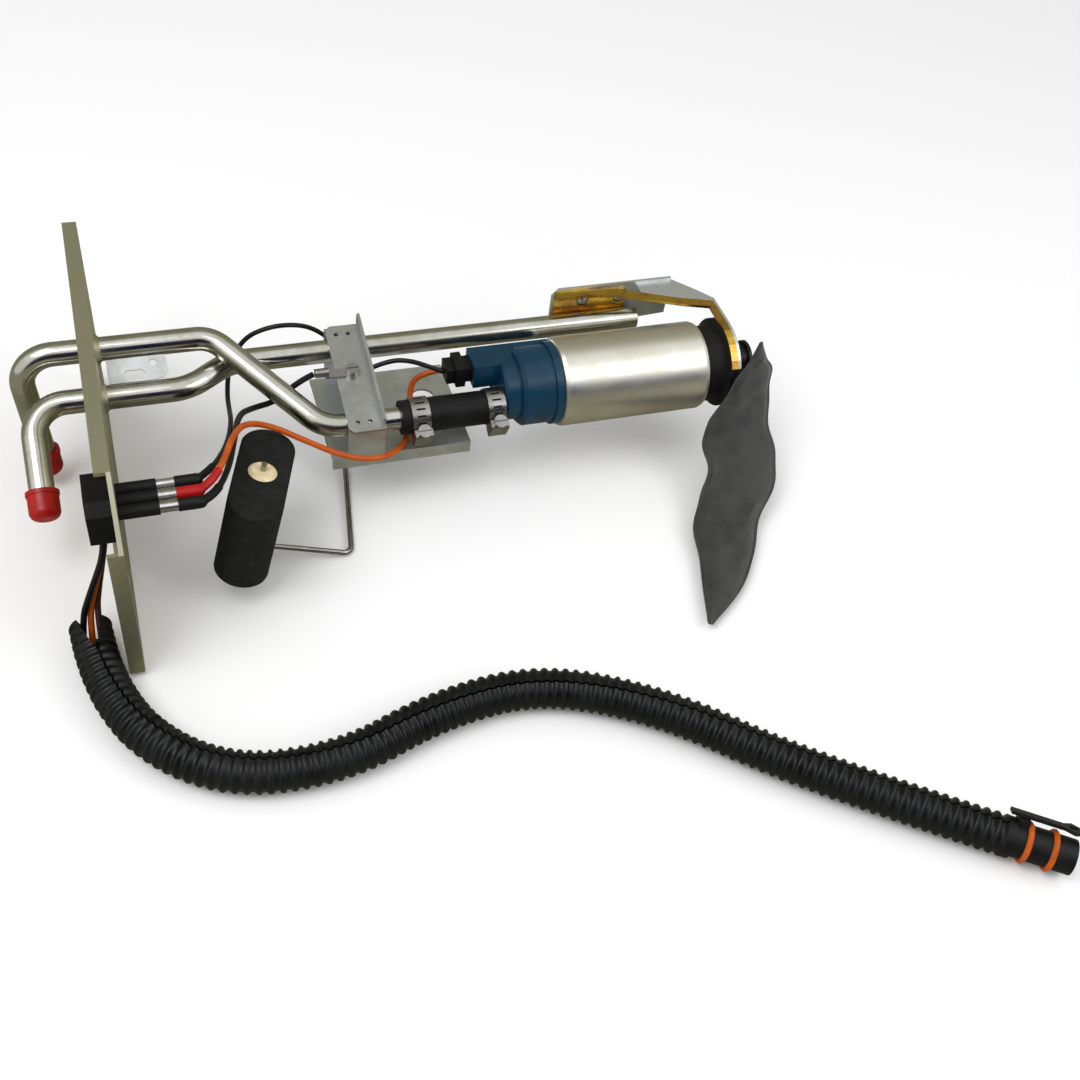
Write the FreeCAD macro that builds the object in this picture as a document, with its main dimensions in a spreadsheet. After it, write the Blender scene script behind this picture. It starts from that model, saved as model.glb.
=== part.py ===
"""Electric fuel pump on its tank hanger: flange, tubes, turbine pump, level sender and harness.

Frame: origin at the centre of the flange's inboard seat face. +X runs inboard along the hanger
to the pump, +Y across the flange, +Z up. The part lies on a table at minus half the flange height.
Millimetres throughout.
"""
import FreeCAD, Part
import math
import os
import Sketcher
from FreeCAD import Rotation, Vector

doc = FreeCAD.newDocument("fuel_pump_hanger")
sheet = doc.addObject("Spreadsheet::Sheet", "Sheet")


class Size:
    """A number that also knows its spreadsheet expression."""

    def __init__(self, value, text):
        self.value = float(value)
        self.text = text

    def _with(self, other, sign, swap=False):
        other = other if isinstance(other, Size) else Size(other, repr(float(other)))
        first, second = (other, self) if swap else (self, other)
        result = {"+": lambda p, q: p + q, "-": lambda p, q: p - q,
                  "*": lambda p, q: p * q, "/": lambda p, q: p / q}[sign](first.value, second.value)
        return Size(result, "(%s %s %s)" % (first.text, sign, second.text))

    def __add__(self, other):
        return self._with(other, "+")

    def __radd__(self, other):
        return self._with(other, "+", True)

    def __sub__(self, other):
        return self._with(other, "-")

    def __rsub__(self, other):
        return self._with(other, "-", True)

    def __mul__(self, other):
        return self._with(other, "*")

    def __rmul__(self, other):
        return self._with(other, "*", True)

    def __truediv__(self, other):
        return self._with(other, "/")

    def __neg__(self):
        return Size(-self.value, "(-%s)" % self.text)

    def __float__(self):
        return self.value


ZERO = Size(0, "0")
row_count = 0


def size(alias, value):
    """Write one driving dimension into the sheet and return it as a Size."""
    global row_count
    row_count += 1
    sheet.set("A%d" % row_count, str(value))
    sheet.setAlias("A%d" % row_count, alias)
    return Size(value, "Sheet.%s" % alias)


# Flange
plate_half_width = size("plate_half_width", 84)
plate_half_height = size("plate_half_height", 43)
plate_thickness = size("plate_thickness", 1.6)
rim_height = size("rim_height", 5.5)
corner_cut = size("corner_cut", 2)
wiring_cut = size("wiring_cut", 20)
bolt_half_width = size("bolt_half_width", 40)
bolt_half_height = size("bolt_half_height", 33)
end_bolt_half_width = size("end_bolt_half_width", 74)
bolt_hole_radius = size("bolt_hole_radius", 2.7)

# Hanger tubes
tube_radius = size("tube_radius", 4.75)
tube_wall = size("tube_wall", 0.9)
tube_bend = size("tube_bend", 13)
feed_y = size("feed_y", 29.5)
feed_z = size("feed_z", 19.5)
return_y = size("return_y", 15)
return_z = size("return_z", 7)
rear_y = size("rear_y", 28)
rear_z = size("rear_z", 7)
hose_y = size("hose_y", -8)
hose_z = size("hose_z", -2)
feed_reach = size("feed_reach", 30)
feed_foot_y = size("feed_foot_y", 25)
feed_foot_z = size("feed_foot_z", -36)
return_reach = size("return_reach", 27)
return_foot_y = size("return_foot_y", -24.5)
return_foot_z = size("return_foot_z", -14)
feed_end_x = size("feed_end_x", 130)
rear_end_x = size("rear_end_x", 228)
cap_wall = size("cap_wall", 1.1)
cap_length = size("cap_length", 10)
braze_width = size("braze_width", 1.8)

# Pump
pump_x = size("pump_x", 181)
can_radius = size("can_radius", 19)
can_wall = size("can_wall", 1)
can_length = size("can_length", 66)
can_lip = size("can_lip", 1.6)
fit_gap = size("fit_gap", 0.1)
outlet_disc = size("outlet_disc", 8)
outlet_radius = size("outlet_radius", 17.6)
outlet_depth = size("outlet_depth", 24)
outlet_step = size("outlet_step", 17)
outlet_nose = size("outlet_nose", 13.4)
nipple_radius = size("nipple_radius", 4.6)
nipple_length = size("nipple_length", 22)
shaft_radius = size("shaft_radius", 1.5)
running_gap = size("running_gap", 0.04)
bearing_radius = size("bearing_radius", 3.6)
bearing_length = size("bearing_length", 5)
commutator_radius = size("commutator_radius", 5)
commutator_length = size("commutator_length", 6.5)
armature_radius = size("armature_radius", 11.6)
magnet_inner = size("magnet_inner", 12.4)
stage_length = size("stage_length", 37)
magnet_length = can_length - stage_length
armature_length = magnet_length - 5
chamber_length = size("chamber_length", 4.5)
impeller_radius = size("impeller_radius", 14)
impeller_width = size("impeller_width", 3.4)
impeller_gap = size("impeller_gap", 0.3)
inlet_radius = size("inlet_radius", 5)
inlet_bore = size("inlet_bore", 3)
brush_width = size("brush_width", 4)
brush_height = size("brush_height", 5.5)
valve_bore = size("valve_bore", 3)
ball_radius = size("ball_radius", 2.2)
seat_radius = size("seat_radius", 1.5)
relief_y = size("relief_y", 8)
relief_z = size("relief_z", -7)
valve_length = size("valve_length", 9)
spring_wire = size("spring_wire", 0.35)

# Hose and clamps
hose_wall = size("hose_wall", 2.5)
hose_start_x = size("hose_start_x", 113)
clamp_width = size("clamp_width", 7.5)
clamp_band = size("clamp_band", 0.7)

# Brackets
sheet_metal = size("sheet_metal", 1.2)
bracket_x = size("bracket_x", 98)
bracket_width = size("bracket_width", 15)
bracket_reach = size("bracket_reach", 8)
bracket_rib = size("bracket_rib", 5.5)
sender_plate_z = size("sender_plate_z", -13.5)
sender_plate_x = size("sender_plate_x", 84)
sender_plate_length = size("sender_plate_length", 58)
sender_plate_front = size("sender_plate_front", -15.2)
sender_plate_back = size("sender_plate_back", 35.2)
sender_skirt = size("sender_skirt", 4.5)
saddle_low = size("saddle_low", -10)
saddle_high = size("saddle_high", 20.6)
saddle_lip = size("saddle_lip", 4.6)
strap_clear = size("strap_clear", 12)
strap_band = size("strap_band", 3.2)
strap_rim = size("strap_rim", 1.2)
saddle_start = size("saddle_start", 10)
strap_x = can_length + strap_clear

# Level sender and float
pivot_x = size("pivot_x", 94)
pivot_y = size("pivot_y", 9)
wire_radius = size("wire_radius", 1.1)
arm_z = size("arm_z", -41.4)
arm_corner_x = size("arm_corner_x", 86)
arm_corner_y = size("arm_corner_y", -42)
float_x = size("float_x", 45)
float_y = size("float_y", -36)
float_half_width = size("float_half_width", 10.5)
float_half_length = size("float_half_length", 26)
float_tilt = size("float_tilt", 12)
float_height = size("float_height", 37.5)
float_turn = size("float_turn", 18)
float_gap = size("float_gap", 0.3)
housing_height = size("housing_height", 8)
hub_radius = size("hub_radius", 7)
hub_height = size("hub_height", 4)
hub_stem = size("hub_stem", 3)
card_thickness = size("card_thickness", 0.8)

# Terminal block
block_inset = size("block_inset", 26.5)
block_y = block_inset - plate_half_width
block_z = size("block_z", 22)
block_width = size("block_width", 22)
block_height = size("block_height", 17)
block_depth = size("block_depth", 9)
pin_radius = size("pin_radius", 1.4)
pin_spacing = size("pin_spacing", 5.6)
pin_length = size("pin_length", 7)
sleeve_radius = size("sleeve_radius", 2.5)
sleeve_length = size("sleeve_length", 14)

# Harness
loom_radius = size("loom_radius", 7.8)
loom_wall = size("loom_wall", 1.2)
wire_thickness = size("wire_thickness", 2.4)
plug_x = size("plug_x", 282)
plug_y = size("plug_y", -228)
plug_radius = size("plug_radius", 6.6)
plug_length = size("plug_length", 25)
plug_roll = size("plug_roll", 35)
plug_socket = size("plug_socket", 5)
plug_socket_depth = size("plug_socket_depth", 11)
seal_cord = size("seal_cord", 1)
latch_length = size("latch_length", 26)

# Strainer
strainer_ring = size("strainer_ring", 8)
strainer_ring_length = size("strainer_ring_length", 11)
sock_half_thickness = size("sock_half_thickness", 3.2)

crimp_radius = size("crimp_radius", 2)
crimp_length = size("crimp_length", 13)
leg_front_top = size("leg_front_top", 0.9)
leg_back_top = size("leg_back_top", 13)
retainer_radius = size("retainer_radius", 5.5)
clamp_front_x = size("clamp_front_x", 117)
clamp_rear_x = size("clamp_rear_x", 149)
clamp_turn = size("clamp_turn", 205)
socket_y = size("socket_y", 0)
socket_z = size("socket_z", 2)
socket_width = size("socket_width", 13)
socket_height = size("socket_height", 11)
socket_reach = size("socket_reach", 35)
plug_proud = size("plug_proud", 8)
motor_start = size("motor_start", 17)
inlet_length = size("inlet_length", 22)

doc.recompute()
table_z = -plate_half_height
made = []


def bind(item, **sizes):
    """Set properties from Sizes and tie each to its expression in the sheet."""
    for name, value in sizes.items():
        if isinstance(value, Size):
            setattr(item, name, value.value)
            item.setExpression(name, value.text)
        else:
            setattr(item, name, value)
    return item


def place(item, x=ZERO, y=ZERO, z=ZERO, turn=None):
    """Give a sub-part its Placement, tied to the sheet where a place is a Size."""
    base = [p if isinstance(p, Size) else Size(p, repr(float(p))) for p in (x, y, z)]
    item.Placement = FreeCAD.Placement(Vector(*[p.value for p in base]), turn or Rotation())
    for axis, p in zip("xyz", base):
        item.setExpression("Placement.Base.%s" % axis, p.text)
    return item


def finish(item, label):
    """Name a sub-part and keep it for writing."""
    item.Label = label
    made.append(item)
    return item


def new_body(label):
    body = doc.addObject("PartDesign::Body", "body_" + label)
    return finish(body, label)


def plane_of(body, role):
    return [f for f in body.Origin.OriginFeatures if f.Role == role][0]


def new_sketch(body, role, offset=ZERO):
    """A sketch on one of the body's own origin planes, moved along its normal by an offset."""
    sketch = body.newObject("Sketcher::SketchObject", "sketch")
    sketch.AttachmentSupport = (plane_of(body, role), [""])
    sketch.MapMode = "FlatFace"
    if isinstance(offset, Size) and offset is not ZERO:
        sketch.AttachmentOffset = FreeCAD.Placement(Vector(0, 0, offset.value), Rotation())
        sketch.setExpression("AttachmentOffset.Base.z", offset.text)
    return sketch


def as_size(number):
    return number if isinstance(number, Size) else Size(number, repr(float(number)))


def polygon(sketch, points):
    """A closed outline whose every corner is tied to the sheet."""
    corners = [(as_size(u), as_size(v)) for u, v in points]
    first = sketch.GeometryCount
    count = len(corners)
    for i, (u, v) in enumerate(corners):
        after = corners[(i + 1) % count]
        sketch.addGeometry(Part.LineSegment(Vector(u.value, v.value, 0),
                                            Vector(after[0].value, after[1].value, 0)), False)
    for i in range(count):
        sketch.addConstraint(Sketcher.Constraint("Coincident", first + i, 2, first + (i + 1) % count, 1))
    for i, (u, v) in enumerate(corners):
        for kind, value, on_axis in (("DistanceX", u, -2), ("DistanceY", v, -1)):
            if abs(value.value) < 1e-9 and value.text in ("0", "0.0"):
                sketch.addConstraint(Sketcher.Constraint("PointOnObject", first + i, 1, on_axis))
                continue
            index = sketch.addConstraint(Sketcher.Constraint(kind, -1, 1, first + i, 1, value.value))
            sketch.setExpression("Constraints[%d]" % index, value.text)


def circle(sketch, u, v, radius):
    """A circle whose centre and radius are tied to the sheet."""
    u, v, radius = as_size(u), as_size(v), as_size(radius)
    index = sketch.addGeometry(Part.Circle(Vector(u.value, v.value, 0), Vector(0, 0, 1), radius.value), False)
    for kind, value, on_axis in (("DistanceX", u, -2), ("DistanceY", v, -1)):
        if abs(value.value) < 1e-9 and value.text in ("0", "0.0"):
            sketch.addConstraint(Sketcher.Constraint("PointOnObject", index, 3, on_axis))
            continue
        at = sketch.addConstraint(Sketcher.Constraint(kind, -1, 1, index, 3, value.value))
        sketch.setExpression("Constraints[%d]" % at, value.text)
    at = sketch.addConstraint(Sketcher.Constraint("Radius", index, radius.value))
    sketch.setExpression("Constraints[%d]" % at, radius.text)


def rectangle(sketch, u0, v0, u1, v1):
    polygon(sketch, [(u0, v0), (u1, v0), (u1, v1), (u0, v1)])


def pad(body, sketch, length, reverse=False):
    feature = body.newObject("PartDesign::Pad", "pad")
    feature.Profile = sketch
    feature.Reversed = reverse
    bind(feature, Length=as_size(length))
    return feature


def pocket(body, sketch, length, reverse=False):
    feature = body.newObject("PartDesign::Pocket", "pocket")
    feature.Profile = sketch
    feature.Reversed = reverse
    bind(feature, Length=as_size(length))
    return feature


def revolve(body, sketch, groove=False):
    """Turn a sketch about the part's X axis, which is the sketch's horizontal axis."""
    kind = "PartDesign::Groove" if groove else "PartDesign::Revolution"
    feature = body.newObject(kind, "turned")
    feature.Profile = sketch
    feature.ReferenceAxis = (sketch, ["H_Axis"])
    feature.Angle = 360
    return feature


def turned(label, points, x, y, z):
    """A body of revolution about X, from an outline of (x, radius) points."""
    body = new_body(label)
    sketch = new_sketch(body, "XY_Plane")
    polygon(sketch, points)
    revolve(body, sketch)
    place(body, x, y, z)
    return body


def shape_part(label, shape, x=0.0, y=0.0, z=0.0, turn=None):
    """A sub-part that holds a shape made from the sheet's values, with its place set afterwards."""
    item = doc.addObject("Part::Feature", "shape_" + label)
    item.Shape = shape
    item.Placement = FreeCAD.Placement(Vector(float(x), float(y), float(z)), turn or Rotation())
    return finish(item, label)


def shape_at(label, shape, spot):
    """A sub-part whose shape stands in a full placement of its own."""
    item = shape_part(label, shape)
    item.Placement = spot
    return item


def bent_path(points, radii):
    """Straight runs joined by tangent arcs: one radius for each inner point."""
    edges = []
    start = points[0]
    for i in range(1, len(points) - 1):
        corner = points[i]
        back = (points[i - 1] - corner).normalize()
        ahead = (points[i + 1] - corner).normalize()
        half = (math.pi - back.getAngle(ahead)) / 2
        reach = radii[i - 1] * math.tan(half)
        enter, leave = corner + back * reach, corner + ahead * reach
        inward = (back + ahead).normalize()
        middle = corner + inward * (radii[i - 1] / math.cos(half) - radii[i - 1])
        if (enter - start).Length > 1e-6:
            edges.append(Part.LineSegment(start, enter).toShape())
        edges.append(Part.Arc(enter, middle, leave).toShape())
        start = leave
    edges.append(Part.LineSegment(start, points[-1]).toShape())
    return Part.Wire(edges)


def round_sweep(path, radius):
    """A round bar of one radius along a path."""
    start = path.Edges[0].Vertexes[0].Point
    along = path.Edges[0].tangentAt(path.Edges[0].FirstParameter)
    ring = Part.Wire(Part.Circle(start, along, radius).toShape())
    return path.makePipeShell([ring], True, False)


def vectors(rows):
    return [Vector(*[float(c) for c in row]) for row in rows]


def cord_radii(points):
    """The arc at each point of a cord, as large as its two runs allow."""
    radii = []
    for i in range(1, len(points) - 1):
        back, ahead = points[i - 1] - points[i], points[i + 1] - points[i]
        half = (math.pi - back.getAngle(ahead)) / 2
        radii.append(0.45 * min(back.Length, ahead.Length) / math.tan(half))
    return radii


def cord(label, rows, radius, bore=None):
    """A flexible tube or wire laid along chosen points."""
    points = vectors(rows)
    radii = cord_radii(points)
    path = bent_path(points, radii)
    shape = round_sweep(path, float(radius))
    expected = math.pi * float(radius) ** 2 * path.Length
    if bore is not None:
        shape = shape.cut(round_sweep(path, float(bore)))
        expected -= math.pi * float(bore) ** 2 * path.Length
    print("%s length %.0f volume ratio %.4f radii %s" % (
        label, path.Length, shape.Volume / expected, " ".join("%.0f" % r for r in radii)))
    return shape_part(label, shape)


def coil_spring(radius, wire, length, turns):
    """A coil spring along +Z from the origin, of square wire in straight steps."""
    steps = 10 * turns
    points = [Vector(radius * math.cos(math.tau * i / 10), radius * math.sin(math.tau * i / 10),
                     wire + (length - 2 * wire) * i / steps) for i in range(steps + 1)]
    spine = Part.makePolygon(points)
    along = (points[1] - points[0]).normalize()
    outward = Vector(1, 0, 0)
    up = along.cross(outward).normalize()
    outward = up.cross(along).normalize()
    corners = [points[0] + outward * (wire * u) + up * (wire * v) for u, v in ((-1, -1), (1, -1), (1, 1), (-1, 1))]
    section = Part.makePolygon(corners + corners[:1])
    return spine.makePipeShell([section], True, False, 1)


ALONG_X = Rotation(Vector(0, 1, 0), 90)


def make_flange():
    """Pressed plate with four folded rims turned outboard; the rim is open at the wiring corner."""
    w, h, c, k = plate_half_width, plate_half_height, corner_cut, wiring_cut
    body = new_body("flange_plate")
    outline = new_sketch(body, "YZ_Plane")
    polygon(outline, [(-w + c, -h), (w - c, -h), (w, -h + c), (w, h - c),
                      (w - c, h), (-w + k, h), (-w, h - k), (-w, -h + c)])
    pad(body, outline, plate_thickness, True)
    rims = new_sketch(body, "YZ_Plane")
    rectangle(rims, -w + k, h - plate_thickness, w - c, h)
    rectangle(rims, -w + c, -h, w - c, -h + plate_thickness)
    rectangle(rims, -w, -h + c, -w + plate_thickness, h - k)
    rectangle(rims, w - plate_thickness, -h + c, w, h - c)
    pad(body, rims, rim_height, True)
    holes = new_sketch(body, "YZ_Plane")
    for side in (-1, 1):
        for level in (-1, 1):
            circle(holes, bolt_half_width * side, bolt_half_height * level, bolt_hole_radius)
        circle(holes, end_bolt_half_width * side, 0, bolt_hole_radius)
    circle(holes, feed_y, feed_z, tube_radius + braze_width)
    circle(holes, return_y, return_z, tube_radius + braze_width)
    for step in (-1, 0, 1):
        circle(holes, block_y + pin_spacing * step, block_z, sleeve_radius)
    pocket(body, holes, plate_thickness)
    return body


def feed_points():
    """The feed tube from its outboard leg to the pump hose."""
    return vectors([
        (4 - feed_reach.value, feed_foot_y.value, feed_foot_z.value), (-feed_reach.value, feed_y.value, feed_z.value),
        (44, feed_y.value, feed_z.value), (82, hose_y.value, hose_z.value),
        (feed_end_x.value, hose_y.value, hose_z.value)])


def return_points():
    """The return tube from its outboard leg, round behind the feed tube and along to the pump."""
    return vectors([
        (-return_reach.value, return_foot_y.value, return_foot_z.value),
        (-return_reach.value, return_y.value, return_z.value),
        (32.5, return_y.value, return_z.value), (50.5, rear_y.value, rear_z.value),
        (rear_end_x.value, rear_y.value, rear_z.value)])


def make_tube(label, points, radii):
    path = bent_path(points, radii)
    shape = round_sweep(path, tube_radius.value).cut(round_sweep(path, (tube_radius - tube_wall).value))
    print("%s length %.0f" % (label, path.Length))
    return shape_part(label, shape)


def make_cap(label, points):
    """A moulded push-on cap with a domed end, on the first point of a tube."""
    end, along = points[0], (points[0] - points[1]).normalize()
    outer = tube_radius.value + cap_wall.value
    length = cap_length.value
    cup = Part.makeCylinder(outer, length + cap_wall.value, Vector(), Vector(0, 0, 1))
    rim = [e for e in cup.Edges if abs(e.BoundBox.ZMin - (length + cap_wall.value)) < 1e-6
           and abs(e.BoundBox.ZMax - e.BoundBox.ZMin) < 1e-6]
    cup = cup.makeFillet(outer * 0.55, rim)
    collar = Part.makeCylinder(outer + 0.4, 1.6)
    bore = Part.makeCylinder(tube_radius.value, length)
    shape = cup.fuse(collar).cut(bore).removeSplitter()
    return shape_at(label, shape, FreeCAD.Placement(end - along * length, Rotation(Vector(0, 0, 1), along)))


def make_braze():
    """Brazing that fills each tube's hole in the plate and stands up as a fillet on both faces."""
    rings = []
    outer, thick, width = (tube_radius + braze_width).value, plate_thickness.value, braze_width.value
    for y, z in ((feed_y, feed_z), (return_y, return_z)):
        ring = Part.makeCylinder(outer, thick, Vector(-thick, y.value, z.value), Vector(1, 0, 0))
        for x, direction in ((0.0, 1), (-thick, -1)):
            ring = ring.fuse(Part.makeCone(outer, tube_radius.value + 0.2, width,
                                           Vector(x, y.value, z.value), Vector(direction, 0, 0)))
        rings.append(ring.cut(Part.makeCylinder(tube_radius.value, 20, Vector(-10, y.value, z.value),
                                                Vector(1, 0, 0))).removeSplitter())
    return shape_part("braze_rings", Part.makeCompound(rings))


def make_hanger_strap():
    """Flat tongue joining the two tubes behind the flange, with an oval slot and a bolt hole."""
    lean = math.degrees(math.atan2((feed_z - return_z).value, (feed_y - return_y).value))
    span = as_size(math.hypot((feed_z - return_z).value, (feed_y - return_y).value))
    body = new_body("hanger_strap")
    outline = new_sketch(body, "XY_Plane")
    polygon(outline, [(3, tube_radius), (20, tube_radius), (24, tube_radius + 0.8), (26, tube_radius + 3.5),
                      (25.5, span - tube_radius), (3, span - tube_radius)])
    pad(body, outline, sheet_metal)
    slot = new_sketch(body, "XY_Plane")
    middle = span / 2 - 2
    polygon(slot, [(10, middle - 1.8), (16, middle - 1.8), (17.5, middle), (16, middle + 1.8),
                   (10, middle + 1.8), (8.5, middle)])
    circle(slot, 20.6, span / 2 + 2, 1.3)
    pocket(body, slot, sheet_metal, True)
    place(body, 0, return_y, return_z, Rotation(Vector(1, 0, 0), lean))


def make_terminal_block():
    """Moulded connector housing outboard of the plate, with its through pins and sleeves."""
    body = new_body("terminal_block")
    face = new_sketch(body, "YZ_Plane", -plate_thickness)
    half_w, half_h, nose = block_width / 2, block_height / 2, 4
    polygon(face, [(-half_w, -half_h), (half_w, -half_h), (half_w, half_h - nose),
                   (half_w - nose, half_h), (-half_w + nose, half_h), (-half_w, half_h - nose)])
    pad(body, face, block_depth, True)
    bores = new_sketch(body, "YZ_Plane", -plate_thickness)
    for step in (-1, 0, 1):
        circle(bores, pin_spacing * step, 0, pin_radius)
    pocket(body, bores, pin_length)
    place(body, 0, block_y, block_z)
    pins, sleeves, crimps = [], [], []
    for step in (-1, 0, 1):
        at = Vector(0, block_y.value + pin_spacing.value * step, block_z.value)
        start = at - Vector(plate_thickness.value + pin_length.value, 0, 0)
        pins.append(Part.makeCylinder(pin_radius.value, (pin_length + plate_thickness + sleeve_length).value - 4,
                                      start, Vector(1, 0, 0)))
        sleeve = Part.makeCylinder(sleeve_radius.value, (sleeve_length + plate_thickness).value,
                                   at - Vector(plate_thickness.value, 0, 0), Vector(1, 0, 0))
        core = Part.makeCylinder(pin_radius.value, sleeve_length.value - 4 + plate_thickness.value,
                                 at - Vector(plate_thickness.value, 0, 0), Vector(1, 0, 0))
        sleeves.append(sleeve.cut(core))
        crimps.append(Part.makeCylinder(crimp_radius.value, crimp_length.value,
                                        at + Vector(sleeve_length.value, 0, 0), Vector(1, 0, 0)))
    shape_part("feedthrough_pins", Part.makeCompound(pins))
    shape_part("terminal_sleeves", Part.makeCompound(sleeves))
    shape_part("terminal_crimps", Part.makeCompound(crimps))


def make_mid_bracket():
    """Clamp plate over both tubes, with a stiffening rib along its pump side."""
    lean = math.degrees(math.atan2((rear_z - hose_z).value, (rear_y - hose_y).value))
    span = math.hypot((rear_z - hose_z).value, (rear_y - hose_y).value)
    body = new_body("mid_bracket")
    outline = new_sketch(body, "XY_Plane")
    half, reach, end = bracket_width / 2, bracket_reach, as_size(span) + bracket_reach
    polygon(outline, [(-half + 2, -reach), (half, -reach), (half, end), (-half + 2, end),
                      (-half, end - 2), (-half, -reach + 2)])
    pad(body, outline, sheet_metal)
    rib = new_sketch(body, "XY_Plane")
    rectangle(rib, half - sheet_metal, -reach + 2, half, end + 2)
    pad(body, rib, bracket_rib)
    holes = new_sketch(body, "XY_Plane")
    for along in (as_size(-3.5), as_size(span) + 3.5):
        for across in (-3.4, 1.6):
            circle(holes, across, along, 0.9)
    pocket(body, holes, sheet_metal, True)
    turn = Rotation(Vector(1, 0, 0), lean)
    lift = turn.multVec(Vector(0, 0, tube_radius.value))
    place(body, bracket_x, hose_y + lift.y, hose_z + lift.z, turn)
    stud = turn.multVec(Vector(-0.5, 21, (tube_radius + sheet_metal).value))
    at = Vector(bracket_x.value, hose_y.value, hose_z.value) + stud
    up = turn.multVec(Vector(0, 0, 1))
    tab = Part.makeCylinder(3.4, 0.9).fuse(Part.makeBox(11, 4, 0.9, Vector(-11, -2, 0)))
    barrel = Part.makeCylinder(1.9, 5.5, Vector(-15.5, 0, 1.9), Vector(1, 0, 0))
    clip = tab.fuse(barrel).removeSplitter()
    shape_at("ground_clip", clip, FreeCAD.Placement(at, turn))
    head = Part.makeCylinder(2.6, 2.2).cut(Part.makeBox(6, 0.7, 0.8, Vector(-3, -0.35, 1.5)))
    shape_at("ground_screw", head, FreeCAD.Placement(at + up * 0.9, turn))


def make_sender():
    """Sender carrier under the tubes, its housing, resistor card, hub, arm and float."""
    body = new_body("sender_bracket")
    top, low = sender_plate_z, sender_plate_z - sheet_metal
    front, back = sender_plate_front, sender_plate_back
    section = new_sketch(body, "YZ_Plane", sender_plate_x)
    polygon(section, [(front, low - sender_skirt), (front + sheet_metal, low - sender_skirt),
                      (front + sheet_metal, low), (back, low), (back, top), (front, top)])
    pad(body, section, sender_plate_length)
    legs = new_sketch(body, "YZ_Plane", bracket_x - bracket_width / 2)
    rectangle(legs, front, top, front + sheet_metal, leg_front_top)
    rectangle(legs, back - sheet_metal, top, back, leg_back_top)
    pad(body, legs, bracket_width)
    window = new_sketch(body, "XY_Plane", top)
    circle(window, sender_plate_x + sender_plate_length - 13, 16, 5)
    pocket(body, window, sheet_metal)
    housing = new_body("sender_housing")
    base = new_sketch(housing, "XY_Plane", low)
    polygon(base, [(pivot_x - 9, pivot_y - 9), (pivot_x + 24, pivot_y - 9), (pivot_x + 24, pivot_y + 9),
                   (pivot_x, pivot_y + 9), (pivot_x - 9, pivot_y + 4)])
    pad(housing, base, housing_height, True)
    bore = new_sketch(housing, "XY_Plane", low)
    circle(bore, pivot_x, pivot_y, hub_stem + running_gap)
    pocket(housing, bore, housing_height)
    under = (low - housing_height).value
    card = Part.makeBox(13, 15, card_thickness.value,
                        Vector(pivot_x.value + 8, pivot_y.value - 7.5, under - card_thickness.value))
    shape_part("resistor_card", card)
    hub_top = under - card_thickness.value - 0.3
    stem = Part.makeCylinder(hub_stem.value, hub_height.value + card_thickness.value + 0.3
                             + housing_height.value - 0.3, Vector(0, 0, hub_top - hub_height.value))
    hub = Part.makeCylinder(hub_radius.value, hub_height.value, Vector(0, 0, hub_top - hub_height.value))
    finger = Part.makeBox(11.5, 2.4, 0.9, Vector(4, -1.2, hub_top - 1.6))
    hub = hub.fuse(stem).fuse(finger)
    hub = hub.cut(Part.makeCylinder(wire_radius.value, 60, Vector(0, 0, hub_top - hub_height.value - 40)))
    shape_part("sender_hub", hub.removeSplitter(), pivot_x, pivot_y)
    tilt = math.radians(float_tilt.value)
    axis = Vector(math.sin(tilt), 0, math.cos(tilt))
    foot_z = arm_z.value + (arm_corner_x - float_x).value * math.tan(tilt)
    foot = Vector(float_x.value, float_y.value, foot_z)
    seat = foot + axis * (wire_radius + float_gap).value
    arm = bent_path(vectors([(pivot_x, pivot_y, hub_top), (pivot_x, pivot_y, arm_z),
                             (arm_corner_x, arm_corner_y, arm_z), foot,
                             seat + axis * (float_height.value + 4.5)]), [3.0, 4.0, 1.5])
    shape_part("float_arm", round_sweep(arm, wire_radius.value))
    radius, height = float_half_width.value, float_height.value
    straight = (float_half_length - float_half_width).value
    block = Part.makeBox(2 * radius, 2 * straight, height, Vector(-radius, -straight, 0))
    for side in (-1, 1):
        block = block.fuse(Part.makeCylinder(radius, height, Vector(0, side * straight, 0)))
    block = block.removeSplitter()
    block = block.makeFillet(1.0, [e for e in block.Edges if abs(e.BoundBox.ZMin - e.BoundBox.ZMax) < 1e-6])
    block = block.cut(Part.makeCylinder((wire_radius + running_gap).value, 80, Vector(0, 0, -10)))
    lean = Rotation(Vector(0, 1, 0), float_tilt.value) * Rotation(Vector(0, 0, 1), -float_turn.value)
    shape_at("float", block, FreeCAD.Placement(seat, lean))
    washer = Part.makeCone(retainer_radius.value, retainer_radius.value - 1.2, 1.0).cut(
        Part.makeCylinder(wire_radius.value, 3))
    shape_at("float_retainer", washer, FreeCAD.Placement(seat + axis * (height + float_gap.value), lean))
    print("float axis", axis, "foot", foot)


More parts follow.
